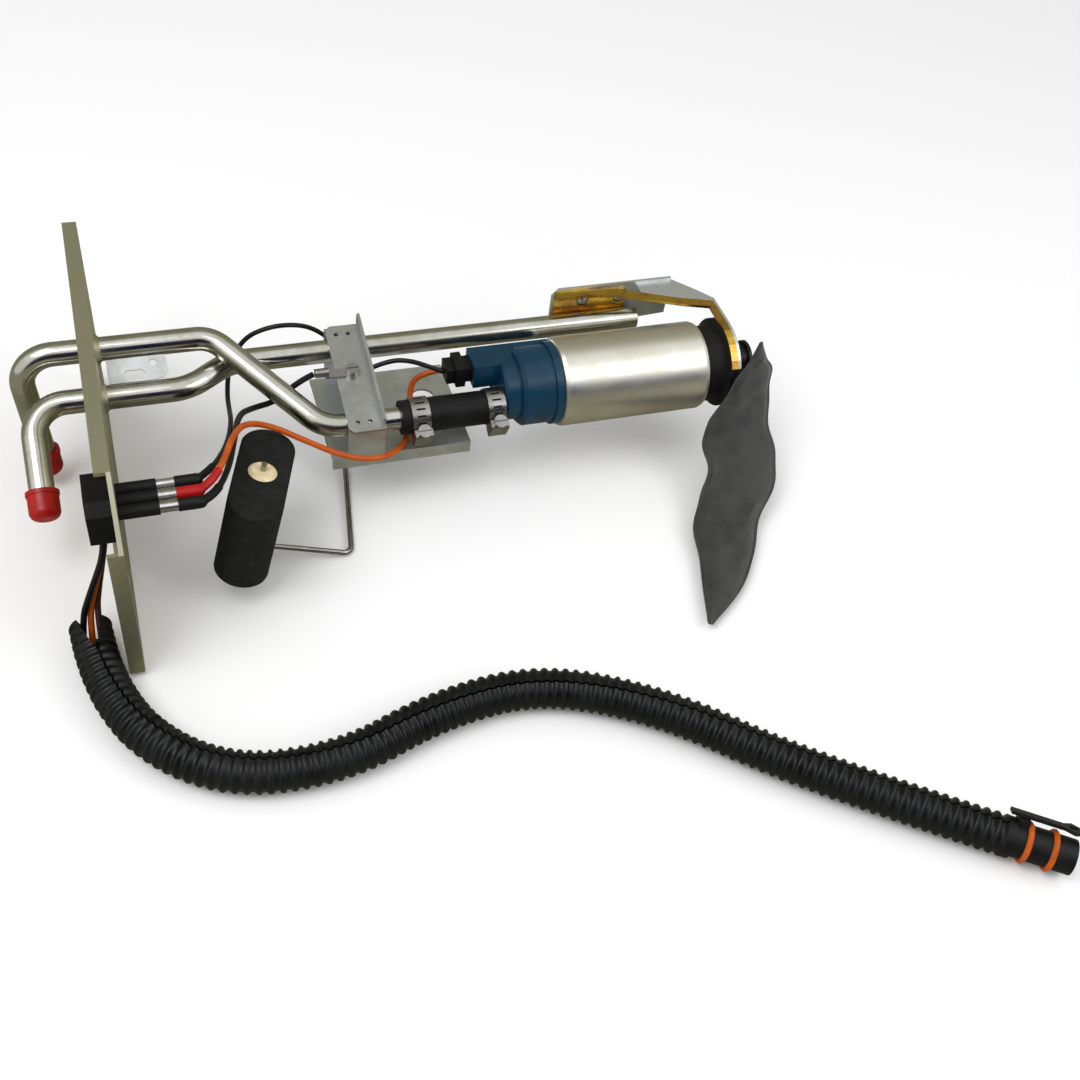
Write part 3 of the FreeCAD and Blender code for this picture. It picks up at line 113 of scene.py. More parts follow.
@dataclass(frozen=True)
class Finish:
    """One real material with the look of the way its surface was made."""

    name: str
    colour: str
    worn: str
    metallic: float = 0.0
    roughness: float = 0.5
    spread: float = 0.12
    patch_mm: float = 9.0
    grain_mm: float = 0.6
    depth_mm: float = 0.03
    worn_share: float = 0.5
    texture: Texture = Texture.GRAIN
    lay: Lay = Lay.EVEN
    ior: float = 1.5
    sheen: float = 0.0
    gloss: float = 0.5
    tint: str | None = None

    def material(self) -> bpy.types.Material:
        """Build the finish as a procedural material, once.

        Returns:
            The material of this name.
        """
        found = bpy.data.materials.get(self.name)
        if found is not None:
            return found
        made = bpy.data.materials.new(self.name)
        made.use_nodes = True
        tree = made.node_tree
        tree.nodes.clear()
        where = add_node(tree, "ShaderNodeTexCoord").outputs["Object"]
        stretched = add_node(tree, "ShaderNodeMapping", {"Vector": where, "Scale": self.lay.value}).outputs["Vector"]
        patches = add_node(tree, "ShaderNodeTexNoise", {
            "Vector": where, "Scale": 1 / (self.patch_mm * MM), "Detail": 6.0, "Roughness": 0.6}).outputs["Fac"]
        share = add_node(tree, "ShaderNodeMapRange", {
            "Value": patches, "From Min": 0.34, "From Max": 0.66, "To Min": 0.0, "To Max": self.worn_share * 1.6},
            clamp=True).outputs["Result"]
        colour = self._blend(tree, share, linear(self.colour), self.worn)
        if self.tint is not None:
            hue = add_node(tree, "ShaderNodeTexNoise", {
                "Vector": where, "Scale": 0.6 / (self.patch_mm * MM), "Detail": 2.0, "Distortion": 1.5}).outputs["Fac"]
            band = add_node(tree, "ShaderNodeMapRange", {
                "Value": hue, "From Min": 0.5, "From Max": 0.62, "To Max": 0.75}, clamp=True).outputs["Result"]
            colour = self._blend(tree, band, colour, self.tint)
        height = self._height(tree, where, stretched)
        rough = add_node(tree, "ShaderNodeMapRange", {
            "Value": patches, "From Min": 0.3, "From Max": 0.7,
            "To Min": max(self.roughness - self.spread, 0.03), "To Max": min(self.roughness + self.spread, 1.0)},
            clamp=True).outputs["Result"]
        bump = add_node(tree, "ShaderNodeBump", {
            "Height": height, "Distance": self.depth_mm * MM, "Strength": 1.0}).outputs["Normal"]
        shader = add_node(tree, "ShaderNodeBsdfPrincipled", {
            "Base Color": colour, "Roughness": rough, "Normal": bump, "Metallic": self.metallic, "IOR": self.ior,
            "Sheen Weight": self.sheen, "Specular IOR Level": self.gloss})
        out = add_node(tree, "ShaderNodeOutputMaterial")
        tree.links.new(shader.outputs["BSDF"], out.inputs["Surface"])
        return made

    @staticmethod
    def _blend(tree: bpy.types.NodeTree, share: bpy.types.NodeSocket, base: object, code: str) -> bpy.types.NodeSocket:
        """Mix a second colour into a first.

        Args:
            tree: the material's node tree.
            share: the socket that gives the share of the second colour.
            base: the first colour, as a value or a socket.
            code: the second colour as sRGB hex digits.

        Returns:
            The socket of the mixed colour.
        """
        return add_node(tree, "ShaderNodeMix", {0: share, 6: base, 7: linear(code)}, data_type="RGBA").outputs[2]

    def _height(self, tree: bpy.types.NodeTree, where: bpy.types.NodeSocket,
                stretched: bpy.types.NodeSocket) -> bpy.types.NodeSocket:
        """Make the height pattern of the texture.

        Args:
            tree: the material's node tree.
            where: object coordinates.
            stretched: object coordinates squeezed across the lay.

        Returns:
            The socket that gives the height, from 0 to 1.
        """
        scale = 1 / (self.grain_mm * MM)
        if self.texture is Texture.WEAVE:
            lines = []
            for axis in ("X", "Y"):
                wave = add_node(tree, "ShaderNodeTexWave", {"Vector": where, "Scale": scale / 20, "Distortion": 0.6,
                                                            "Detail Scale": 0.4}, bands_direction=axis)
                lines.append(wave.outputs["Fac"])
            return add_node(tree, "ShaderNodeMath", {0: lines[0], 1: lines[1]}, operation="MULTIPLY").outputs[0]
        if self.texture is Texture.CELLS:
            return add_node(tree, "ShaderNodeTexVoronoi", {"Vector": where, "Scale": scale}).outputs["Distance"]
        return add_node(tree, "ShaderNodeTexNoise", {
            "Vector": stretched, "Scale": scale, "Detail": 3.0}).outputs["Fac"]


# Bright zinc on pressed steel: a bluish white plate that clouds and greys with handling.
ZINC_PLATE = Finish("bright_zinc_plated_steel_sheet", "C2C4C6", "94968F", 1.0, 0.3, 0.1, 11, 0.5, 0.012)
# Clear passivated zinc on flat brackets: a cool silver grey with a soft sheen.
PASSIVATED = Finish("clear_passivated_bracket", "DCE0E2", "B4B8B8", 1.0, 0.5, 0.1, 11, 0.5, 0.012)
# Zinc on the flange has dulled to a warm grey-green bloom along its folded rims.
DULL_ZINC = Finish("dulled_zinc_plated_flange", "C6C3AE", "9C987E", 1.0, 0.46, 0.12, 16, 0.6, 0.015)
# Drawn steel tube, bright zinc plated: long glossy highlights with faint lengthwise lines.
ZINC_TUBE = Finish("bright_zinc_plated_tube", "CBCBC6", "A3A38F", 1.0, 0.2, 0.07, 14, 0.35, 0.006,
                   texture=Texture.DRAWN, lay=Lay.ALONG_X)
# Yellow chromate over zinc: gold that drifts to olive and pink, thinner on bends.
YELLOW_ZINC = Finish("yellow_chromate_zinc_sheet", "DCB24A", "A98A34", 1.0, 0.3, 0.1, 8, 0.5, 0.012,
                     tint="B47A50")
# Tin plated deep-drawn can: satin, with the faint rings of its drawing.
CAN_STEEL = Finish("satin_drawn_steel_can", "E2E1DA", "CFCBBB", 1.0, 0.36, 0.06, 18, 0.5, 0.008,
                   texture=Texture.DRAWN, lay=Lay.AROUND_X)
SPRING_STEEL = Finish("drawn_spring_steel", "A9A9A6", "7F7D76", 1.0, 0.3, 0.1, 6, 0.3, 0.008)
BRASS = Finish("tin_plated_brass", "C8BFA4", "A3925F", 1.0, 0.3, 0.08, 5, 0.4, 0.008)
TINNED = Finish("tinned_crimp_barrel", "C9C9C9", "8F8F8C", 1.0, 0.28, 0.08, 3, 0.4, 0.01)
# Brazing fillets, zinc plated together with the flange and so nearly as grey.
BRAZE = Finish("plated_brazing_fillet", "C0BBA2", "968F70", 1.0, 0.42, 0.12, 3, 0.5, 0.03)
BRONZE = Finish("sintered_bronze", "9A7344", "7A5730", 1.0, 0.5, 0.1, 3, 0.3, 0.02)
COPPER = Finish("turned_copper", "B87349", "94542F", 1.0, 0.32, 0.1, 4, 0.3, 0.008)
FERRITE = Finish("sintered_ferrite", "2C2C2D", "3A3836", 0.0, 0.6, 0.1, 4, 0.4, 0.02)
LAMINATION = Finish("stacked_steel_laminations", "6C6A66", "4F4D49", 1.0, 0.45, 0.1, 4, 0.3, 0.02)
CARBON = Finish("pressed_carbon", "202020", "2B2A29", 0.0, 0.5, 0.1, 3, 0.3, 0.01)
CERAMIC = Finish("printed_ceramic_card", "C9C6BA", "A9A392", 0.0, 0.5, 0.08, 4, 0.4, 0.006)
# Blue nylon 66 moulding: glossy skin with soft flow clouds.
BLUE_NYLON = Finish("blue_nylon_moulding", "05344C", "032839", 0.0, 0.32, 0.08, 8, 0.5, 0.012, ior=1.53, gloss=0.3)
# Black glass-filled nylon: near matt with a fine spark-eroded grain.
BLACK_NYLON = Finish("black_glass_filled_nylon", "0B0B0D", "141417", 0.0, 0.42, 0.1, 6, 0.35, 0.02, ior=1.53, gloss=0.2)
# Split loom of black polypropylene, waxy with handling marks.
LOOM_PLASTIC = Finish("black_polypropylene_loom", "0A0B0C", "161719", 0.0, 0.34, 0.1, 12, 0.4, 0.01, gloss=0.22)
# Nitrile hose with an extruded, slightly chalky skin.
HOSE_RUBBER = Finish("black_nitrile_hose", "090909", "141414", 0.0, 0.55, 0.1, 7, 0.4, 0.015, gloss=0.2)
RUBBER = Finish("black_moulded_rubber", "0A0A0A", "141414", 0.0, 0.6, 0.1, 6, 0.4, 0.02, gloss=0.2)
# Closed-cell nitrile foam: dead matt with tiny cells cut open at the skin.
FOAM = Finish("black_nitrile_foam", "161716", "242523", 0.0, 0.82, 0.08, 3, 0.9, 0.12, texture=Texture.CELLS,
              ior=1.4, gloss=0.2)
# Dipped vinyl caps: saturated, glossy and a little uneven.
RED_VINYL = Finish("red_dipped_vinyl", "AE0703", "860502", 0.0, 0.3, 0.08, 6, 0.8, 0.02, ior=1.53, gloss=0.3)
IVORY_ACETAL = Finish("ivory_acetal", "DDD0A6", "C4B384", 0.0, 0.38, 0.08, 4, 0.5, 0.008)
NATURAL_NYLON = Finish("aged_natural_nylon", "8C8A7F", "6E6C61", 0.0, 0.5, 0.1, 6, 0.4, 0.015)
ORANGE_SILICONE = Finish("orange_silicone_seal", "C05606", "984204", 0.0, 0.4, 0.08, 4, 0.5, 0.01, gloss=0.3)
ORANGE_PVC = Finish("orange_wire_insulation", "BE5305", "964003", 0.0, 0.34, 0.08, 6, 0.4, 0.008, gloss=0.3)
BROWN_PVC = Finish("brown_wire_insulation", "4A2418", "32180F", 0.0, 0.36, 0.08, 6, 0.4, 0.008)
BLACK_PVC = Finish("black_wire_insulation", "0A0A0D", "15151A", 0.0, 0.36, 0.08, 6, 0.4, 0.008, gloss=0.25)
SHRINK_BLACK = Finish("black_heat_shrink_tubing", "0A0A0A", "161616", 0.0, 0.48, 0.08, 4, 0.9, 0.05, gloss=0.2)
SHRINK_RED = Finish("red_heat_shrink_tubing", "B00A05", "860704", 0.0, 0.4, 0.08, 4, 0.9, 0.05, gloss=0.3)
# Woven nylon filter mesh; the real 0.1 mm threads are drawn at 1.1 mm so that the weave shows.
SOCK_MESH = Finish("woven_nylon_filter_mesh", "232323", "383836", 0.0, 0.55, 0.12, 10, 1.1, 0.12,
                   texture=Texture.WEAVE, sheen=0.3, gloss=0.3)

NODE_FINISH: dict[str, Finish] = {
    "flange_plate": DULL_ZINC, "feed_tube": ZINC_TUBE, "return_tube": ZINC_TUBE,
    "feed_tube_cap": RED_VINYL, "return_tube_cap": RED_VINYL, "braze_rings": BRAZE,
    "hanger_strap": ZINC_PLATE, "terminal_block": BLACK_NYLON, "feedthrough_pins": BRASS,
    "terminal_sleeves": RUBBER, "terminal_crimps": TINNED, "mid_bracket": ZINC_PLATE,
    "ground_clip": SPRING_STEEL, "ground_screw": SPRING_STEEL, "sender_bracket": PASSIVATED,
    "sender_housing": NATURAL_NYLON, "resistor_card": CERAMIC, "sender_hub": BLACK_NYLON,
    "float_arm": SPRING_STEEL, "float": FOAM, "float_retainer": IVORY_ACETAL, "pump_hose": HOSE_RUBBER,
    "hose_clamp_front": SPRING_STEEL, "hose_clamp_rear": SPRING_STEEL, "hose_clamp_screws": SPRING_STEEL,
    "pump_can": CAN_STEEL, "pump_outlet_cap": BLUE_NYLON, "pump_connector_plug": BLACK_NYLON,
    "check_valve_ball": SPRING_STEEL, "check_valve_spring": SPRING_STEEL, "relief_valve_ball": SPRING_STEEL,
    "relief_valve_spring": SPRING_STEEL, "pump_bearings": BRONZE, "pump_shaft": SPRING_STEEL,
    "pump_commutator": COPPER, "pump_armature": LAMINATION, "pump_magnets": FERRITE, "pump_brushes": CARBON,
    "brush_springs": SPRING_STEEL, "pump_chamber_plate": NATURAL_NYLON, "pump_impeller": BLACK_NYLON,
    "pump_inlet_head": BLACK_NYLON, "pump_saddle": YELLOW_ZINC, "hanger_plate": PASSIVATED,
    "saddle_rivets": SPRING_STEEL, "pump_isolator": RUBBER, "strainer_fitting": BLACK_NYLON,
    "loom_tube": LOOM_PLASTIC, "plug_body": BLACK_NYLON,
    "plug_seals": ORANGE_SILICONE, "plug_contacts": BRASS, "plug_latch": BLACK_NYLON,
    "orange_wire": ORANGE_PVC, "black_wire": BLACK_PVC, "sender_wire": BLACK_PVC,
    "pump_ground_wire": BLACK_PVC, "harness_wire_black": BLACK_PVC, "harness_wire_orange": ORANGE_PVC,
    "harness_wire_brown": BROWN_PVC,
}


class Bench:
    """Small modelling steps shared by the sub-assemblies."""

    @staticmethod
    def clear_selection() -> None:
        """Leave edit mode and deselect everything."""
        if bpy.context.object is not None and bpy.context.object.mode != "OBJECT":
            bpy.ops.object.mode_set(mode="OBJECT")
        bpy.ops.object.select_all(action="DESELECT")

    @staticmethod
    def pick(obj: bpy.types.Object) -> None:
        """Make one object the only selected and active one.

        Args:
            obj: the object.
        """
        Bench.clear_selection()
        obj.select_set(True)
        bpy.context.view_layer.objects.active = obj

    @staticmethod
    def dress(obj: bpy.types.Object, name: str, finish: Finish, body: str = ROOT_BODY,
              slot: str | None = None, stands_for: Sequence[str] = ()) -> bpy.types.Object:
        """Name a finished piece, give it its material and tie it to the frame.

        Args:
            obj: the finished object.
            name: its name in the scene.
            finish: what it is made of.
            body: the CAD body it moves with.
            slot: a material slot name; not used.
            stands_for: CAD nodes that it replaces.

        Returns:
            The same object.
        """
        obj.name = name
        obj.data.materials.clear()
        obj.data.materials.append(finish.material())
        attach(obj, body)
        if stands_for:
            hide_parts(*stands_for)
        LOG.info("%s: %s, rides on %s", name, finish.name, body)
        return obj

    @staticmethod
    def tidy_shell(obj: bpy.types.Object, smooth_degrees: float) -> None:
        """Turn every face of a closed piece outward and smooth its gentle edges.

        Args:
            obj: the piece.
            smooth_degrees: the sharpest angle between faces that is still smoothed.
        """
        Bench.pick(obj)
        bpy.ops.object.mode_set(mode="EDIT")
        bpy.ops.mesh.select_all(action="SELECT")
        bpy.ops.mesh.normals_make_consistent(inside=False)
        bpy.ops.object.mode_set(mode="OBJECT")
        bpy.ops.object.shade_smooth_by_angle(angle=math.radians(smooth_degrees))

    @staticmethod
    def mesh_piece(name: str, points: Sequence[Vector], faces: Sequence[Sequence[int]]) -> bpy.types.Object:
        """Make an object of points and faces.

        Args:
            name: the object's name.
            points: its corners in the row frame.
            faces: the corners of each face, by number.

        Returns:
            The new object, linked to the scene.
        """
        mesh = bpy.data.meshes.new(name)
        mesh.from_pydata([tuple(p) for p in points], [], [tuple(f) for f in faces])
        obj = bpy.data.objects.new(name, mesh)
        bpy.context.scene.collection.objects.link(obj)
        return obj


@dataclass
class Cord:
    """One wire: its route's points in millimetres, as the CAD lays it, and its facts."""

    name: str
    node: str
    points: list[Point]
    radius_mm: float
    length_mm: float
    finish: Finish
    slot: str
    stiffness: str = "medium"
    far_end: str = "object"

    def line(self) -> bpy.types.Object:
        """Make the smooth centre line as a NURBS curve with no thickness.

        Returns:
            The curve object, linked to the scene.
        """
        curve = bpy.data.curves.new(self.name, "CURVE")
        curve.dimensions = "3D"
        spline = curve.splines.new("NURBS")
        spline.points.add(len(self.points) - 1)
        for knot, (x, y, z) in zip(spline.points, self.points):
            knot.co = (x * MM, y * MM, z * MM, 1.0)
        spline.order_u = 3
        spline.use_endpoint_u = True
        spline.resolution_u = 10
        obj = bpy.data.objects.new(self.name, curve)
        bpy.context.scene.collection.objects.link(obj)
        return obj

    def samples(self) -> list[Vector]:
        """Read the points along the smooth centre line.

        Returns:
            Points in the row frame, in order from the first end.
        """
        obj = self.line()
        bpy.context.view_layer.update()
        mesh = bpy.data.meshes.new_from_object(obj)
        found = [v.co.copy() for v in mesh.vertices]
        bpy.data.objects.remove(obj)
        bpy.data.meshes.remove(mesh)
        return found

    def build(self, with_pieces: Sequence[str] = ()) -> bpy.types.Object:
        """Args:
            with_pieces: separate pieces that go with it; not used.

        Returns:
            The curve object.
        """
        obj = self.line()
        obj.data.bevel_depth = self.radius_mm * MM
        obj.data.bevel_resolution = 5
        obj.data.use_fill_caps = True
        Bench.dress(obj, self.name, self.finish, slot=self.slot, stands_for=[self.node])
        return obj


def walk(line: Sequence[Vector], distances: Sequence[float]) -> list[tuple[Vector, Vector]]:
    """Find places along a line at given distances from its first end.

    Args:
        line: the points of the line.
        distances: rising distances in metres.

    Returns:
        For each distance the place and the direction of the line there.
    """
    lengths = line_lengths(line)
    found = []
    i = 0
    for distance in distances:
        while i < len(line) - 2 and lengths[i + 1] < distance:
            i += 1
        share = (distance - lengths[i]) / max(lengths[i + 1] - lengths[i], TINY)
        found.append((line[i].lerp(line[i + 1], share), (line[i + 1] - line[i]).normalized()))
    return found


def line_lengths(line: Sequence[Vector]) -> list[float]:
    """Add up the length of a line from its first end to each of its points.

    Args:
        line: the points of the line.

    Returns:
        One length in metres for each point, from 0.
    """
    lengths = [0.0]
    for a, b in zip(line, line[1:]):
        lengths.append(lengths[-1] + (b - a).length)
    return lengths


@dataclass
class PhotoCamera:
    """The camera at the photograph's own place and angle."""

    azimuth: float = -0.424168
    elevation: float = 0.816762
    roll: float = 0.158770
    place_mm: Point = (10.118, -392.461, 357.517)
    lens_mm: float = 43.333
    sensor_mm: float = 36.0

    def build(self) -> bpy.types.Object:
        """Make the camera and set it as the scene's own.

        Returns:
            The camera object.
        """
        a, e, r = self.azimuth, self.elevation, self.roll
        back = Vector((math.sin(a) * math.cos(e), -math.cos(a) * math.cos(e), math.sin(e)))
        level = Vector((math.cos(a), math.sin(a), 0.0))
        upright = back.cross(level)
        right = math.cos(r) * level + math.sin(r) * upright
        up = -math.sin(r) * level + math.cos(r) * upright
        data = bpy.data.cameras.new("photo_camera")
        data.lens = self.lens_mm
        data.sensor_width = self.sensor_mm
        data.sensor_fit = "HORIZONTAL"
        data.clip_start = 0.01
        obj = bpy.data.objects.new("photo_camera", data)
        bpy.context.scene.collection.objects.link(obj)
        turn = Matrix((right, up, back)).transposed().to_4x4()
        obj.matrix_world = Matrix.Translation(Vector(self.place_mm) * MM) @ turn
        bpy.context.scene.camera = obj
        return obj


@dataclass
class Studio:
    """A pale table and soft light, with a banded surround that only mirror-like surfaces show; in reflections the table
    shows a painted shade of khaki grey.
    """

    floor_size: float = 6.0
    floor_gap: float = 0.0002
    lamps_aim: Point = (0.12, -0.05, 0.0)
    sky: float = 0.75
    key_watts: float = 5.0
    fill_watts: float = 2.0
    floor_colour: str = "F2F2F2"
    # Painted shade: the table's colour in reflections only, a khaki grey that stands in for the shade under the object.
    painted_reflected_shade: str = "8D8A76"
    mirror_bands: tuple[tuple[float, str], ...] = (
        (0.0, "0A0A30"), (0.1, "10103A"), (0.14, "FFFFFF"), (0.6, "FFFFFF"), (0.7, "A09E88"), (1.0, "86846F"))

    def build(self) -> None:
        """Make the floor, the world and the two lamps."""
        Bench.clear_selection()
        bpy.ops.mesh.primitive_plane_add(size=self.floor_size, location=(0, 0, TABLE_Z - self.floor_gap))
        floor = bpy.context.object
        floor.name = "table_top"
        paper = bpy.data.materials.new("matt_white_card")
        paper.use_nodes = True
        tree = paper.node_tree
        tree.nodes.clear()
        where = add_node(tree, "ShaderNodeTexCoord").outputs["Object"]
        grain = add_node(tree, "ShaderNodeTexNoise", {"Vector": where, "Scale": 900.0}).outputs["Fac"]
        bump = add_node(tree, "ShaderNodeBump", {"Height": grain, "Distance": 0.00002}).outputs["Normal"]
        # Painted reflection: glossy rays see the table in the darker painted shade colour, all other rays see it white.
        mirrored = add_node(tree, "ShaderNodeLightPath").outputs["Is Glossy Ray"]
        colour = add_node(tree, "ShaderNodeMix", {
            0: mirrored, 6: linear(self.floor_colour), 7: linear(self.painted_reflected_shade)}, data_type="RGBA").outputs[2]
        shader = add_node(tree, "ShaderNodeBsdfPrincipled", {
            "Base Color": colour, "Roughness": 0.9, "Normal": bump, "Specular IOR Level": 0.1})
        add_node(tree, "ShaderNodeOutputMaterial", {"Surface": shader.outputs["BSDF"]})
        floor.data.materials.append(paper)
        world = bpy.data.worlds.new("studio")
        bpy.context.scene.world = world
        world.use_nodes = True
        sky = world.node_tree
        sky.nodes.clear()
        path = add_node(sky, "ShaderNodeLightPath")
        level = add_node(sky, "ShaderNodeMapRange", {
            "Value": path.outputs["Is Diffuse Ray"], "To Min": 1.0, "To Max": self.sky}).outputs[0]
        heading = add_node(sky, "ShaderNodeSeparateXYZ", {0: add_node(sky, "ShaderNodeTexCoord").outputs["Generated"]})
        across = add_node(sky, "ShaderNodeMapRange", {"Value": heading.outputs["Y"], "From Min": -1.0}).outputs[0]
        bands = add_node(sky, "ShaderNodeValToRGB", {"Fac": across})
        for i, (at, code) in enumerate(self.mirror_bands):
            stop = bands.color_ramp.elements[i] if i < 2 else bands.color_ramp.elements.new(at)
            stop.position = at
            stop.color = linear(code)
        colour = add_node(sky, "ShaderNodeMix", {0: path.outputs["Is Glossy Ray"], 6: (1.0, 1.0, 1.0, 1.0),
                                                 7: bands.outputs["Color"]}, data_type="RGBA").outputs[2]
        glow = add_node(sky, "ShaderNodeBackground", {"Color": colour, "Strength": level})
        add_node(sky, "ShaderNodeOutputWorld", {"Surface": glow.outputs["Background"]})
        for name, place, size, watts in (("key_softbox", (-0.35, -0.25, 0.9), 0.6, self.key_watts),
                                         ("fill_softbox", (0.7, -0.5, 0.6), 0.5, self.fill_watts)):
            data = bpy.data.lights.new(name, "AREA")
            data.energy = watts
            data.size = size
            lamp = bpy.data.objects.new(name, data)
            lamp.location = place
            lamp.rotation_euler = (Vector(self.lamps_aim) - Vector(place)).to_track_quat("-Z", "Y").to_euler()
            bpy.context.scene.collection.objects.link(lamp)
        bpy.context.scene.view_settings.view_transform = "Standard"


@dataclass
class Sleeve:
    """Shrunk sleeve over the end of one crimp and the first stretch of its wire."""

    name: str
    finish: Finish
    wire: Cord
    start_mm: float = 7.5
    over_mm: float = 8.0
    reach_mm: float = 19.0
    wall_mm: float = 0.35
    crimp_mm: float = 2.02
    taper_mm: float = 2.0
    room_mm: float = 0.03
    lead_steps: int = 6
    rings: int = 30
    sides: int = 20
    smooth_degrees: float = 40

    def build(self) -> bpy.types.Object:
        """Loft the sleeve along its wire, wide over the crimp and tight on the insulation.

        Returns:
            The sleeve's object.
        """
        first = Vector(self.wire.points[0]) * MM
        line = [first - Vector((self.start_mm * MM * (1 - i / self.lead_steps), 0, 0))
                for i in range(self.lead_steps)]
        line += self.wire.samples()
        count = self.rings
        distances = [self.reach_mm * MM * k / count for k in range(count + 1)]
        rings: list[tuple[Vector, Vector, Vector, float]] = []
        for distance, (place, along) in zip(distances, walk(line, distances)):
            side = UPWARD.cross(along).normalized()
            blend = min(max((distance / MM - self.over_mm) / self.taper_mm, 0.0), 1.0)
            tight = self.wire.radius_mm + self.room_mm
            inner = self.crimp_mm + (tight - self.crimp_mm) * blend * blend * (3 - 2 * blend)
            rings.append((place, side, along.cross(side), inner))
        points, faces = [], []
        for inside in (False, True):
            for place, side, up, inner in rings:
                radius = (inner if inside else inner + self.wall_mm) * MM
                points += [place + side * (radius * math.cos(math.tau * j / self.sides))
                           + up * (radius * math.sin(math.tau * j / self.sides)) for j in range(self.sides)]
        half, n = len(rings) * self.sides, self.sides
        for j in range(n):
            after = (j + 1) % n
            for k in range(count):
                a, b, c, d = k * n + j, k * n + after, (k + 1) * n + after, (k + 1) * n + j
                faces += [(a, b, c, d), (half + a, half + d, half + c, half + b)]
            faces.append((j, half + j, half + after, after))
            last = count * n
            faces.append((last + j, last + after, half + last + after, half + last + j))
        obj = Bench.mesh_piece(self.name, points, faces)
        Bench.tidy_shell(obj, self.smooth_degrees)
        return Bench.dress(obj, self.name, self.finish)


@dataclass
class Sock:
    """Filter bag of woven mesh with a welded rim, draped from the inlet down to the table."""

    inlet_x: float = 261.0
    half_thickness_mm: float = 3.2
    steps: int = 9
    smooth_degrees: float = 35
    flat_edge: float = 0.8
    creases: tuple[Point, ...] = ((0.34, 3.4, 0.6), (0.16, 7.9, 1.0))
    stations: tuple[tuple[Point, Point, float, float], ...] = (
        ((6.5, -15.6, 22), (0.1, -0.3, -1), 1.0, 0.2), ((6.6, -16.6, 14.5), (0.1, -0.3, -1), 4.6, 0.4),
        ((4.5, -18.7, 6.5), (0.1, -0.35, -1), 10.5, 0.6), ((2.5, -22, -7), (0.1, -0.5, -1), 14.5, 0.9),
        ((-1, -31, -20), (-0.1, -1, -0.9), 16.0, 1.0), ((-4.2, -44, -30), (-0.15, -1, -0.6), 16.0, 1.0),
        ((-14.7, -62, -36.5), (-0.4, -1, -0.2), 14.0, 1.0), ((-26.9, -85, -38.8), (-0.5, -1, 0), 10.5, 1.0),
        ((-43.6, -111, -39.3), (-0.6, -1, 0), 1.2, 0.5))
    profile: tuple[tuple[float, float], ...] = (
        (-1.0, 0.1), (-0.9, 0.14), (-0.82, 0.5), (-0.6, 0.86), (-0.25, 1.0), (0.25, 1.0), (0.6, 0.86), (0.82, 0.5),
        (0.9, 0.14), (1.0, 0.1))

    def outline(self, share: float) -> list[Vector]:
        """Find one cross-section of the bag.

        Args:
            share: the place along the bag in stations, from 0 at the inlet.

        Returns:
            The section's corners in the row frame.
        """
        i = min(int(share), len(self.stations) - 2)
        t = share - i
        picks = [self.stations[min(max(i + k, 0), len(self.stations) - 1)] for k in (-1, 0, 1, 2)]
        weights = (-0.5 * t + t * t - 0.5 * t ** 3, 1 - 2.5 * t * t + 1.5 * t ** 3,
                   0.5 * t + 2 * t * t - 1.5 * t ** 3, -0.5 * t * t + 0.5 * t ** 3)
        spot, along = Vector(), Vector()
        half = thick = 0.0
        for weight, (place, heading, width, depth) in zip(weights, picks):
            spot += weight * Vector(place)
            along += weight * Vector(heading).normalized()
            half += weight * width
            thick += weight * depth * self.half_thickness_mm
        spot += Vector((self.inlet_x, 0, 0))
        along.normalize()
        across = Vector((-along.y, along.x, 0)).normalized()
        up = along.cross(across)
        up = up if up.z > 0 else -up
        end = min(1.0, 0.35 + share * 1.3, 0.25 + (len(self.stations) - 1 - share) * 2.2)
        crease = sum(depth * math.sin(share * pace + start) for depth, pace, start in self.creases)
        ring = []
        for sign in (1, -1):
            for u, v in (self.profile if sign > 0 else tuple(reversed(self.profile))):
                folded = abs(u) < self.flat_edge and sign > 0
                fold = 1 + crease * math.cos(u * 4.0 + share * 1.7) if folded else 1.0
                ripple = 1 + 0.1 * math.sin((share - 2) * 2.3 + 1.6 * u) + 0.035 * math.sin(share * 5.7 + 3 * u)
                ring.append((spot + across * (half * u * ripple) + up * (sign * thick * v * end * fold)) * MM)
        return ring

    def build(self) -> bpy.types.Object:
        """Loft the bag, smooth it and put it in place of the CAD's plain stand-in.

        Returns:
            The bag's object.
        """
        count = (len(self.stations) - 1) * self.steps
        rings = [self.outline(k / self.steps) for k in range(count + 1)]
        n = len(rings[0])
        points = [p for ring in rings for p in ring]
        faces = [(k * n + j, k * n + (j + 1) % n, (k + 1) * n + (j + 1) % n, (k + 1) * n + j)
                 for k in range(count) for j in range(n)]
        faces += [tuple(range(n)), tuple(range(count * n, (count + 1) * n))]
        obj = Bench.mesh_piece("strainer_bag", points, faces)
        Bench.tidy_shell(obj, self.smooth_degrees)
        return Bench.dress(obj, "strainer_bag", SOCK_MESH, slot="nylon_mesh", stands_for=["strainer_sock"])


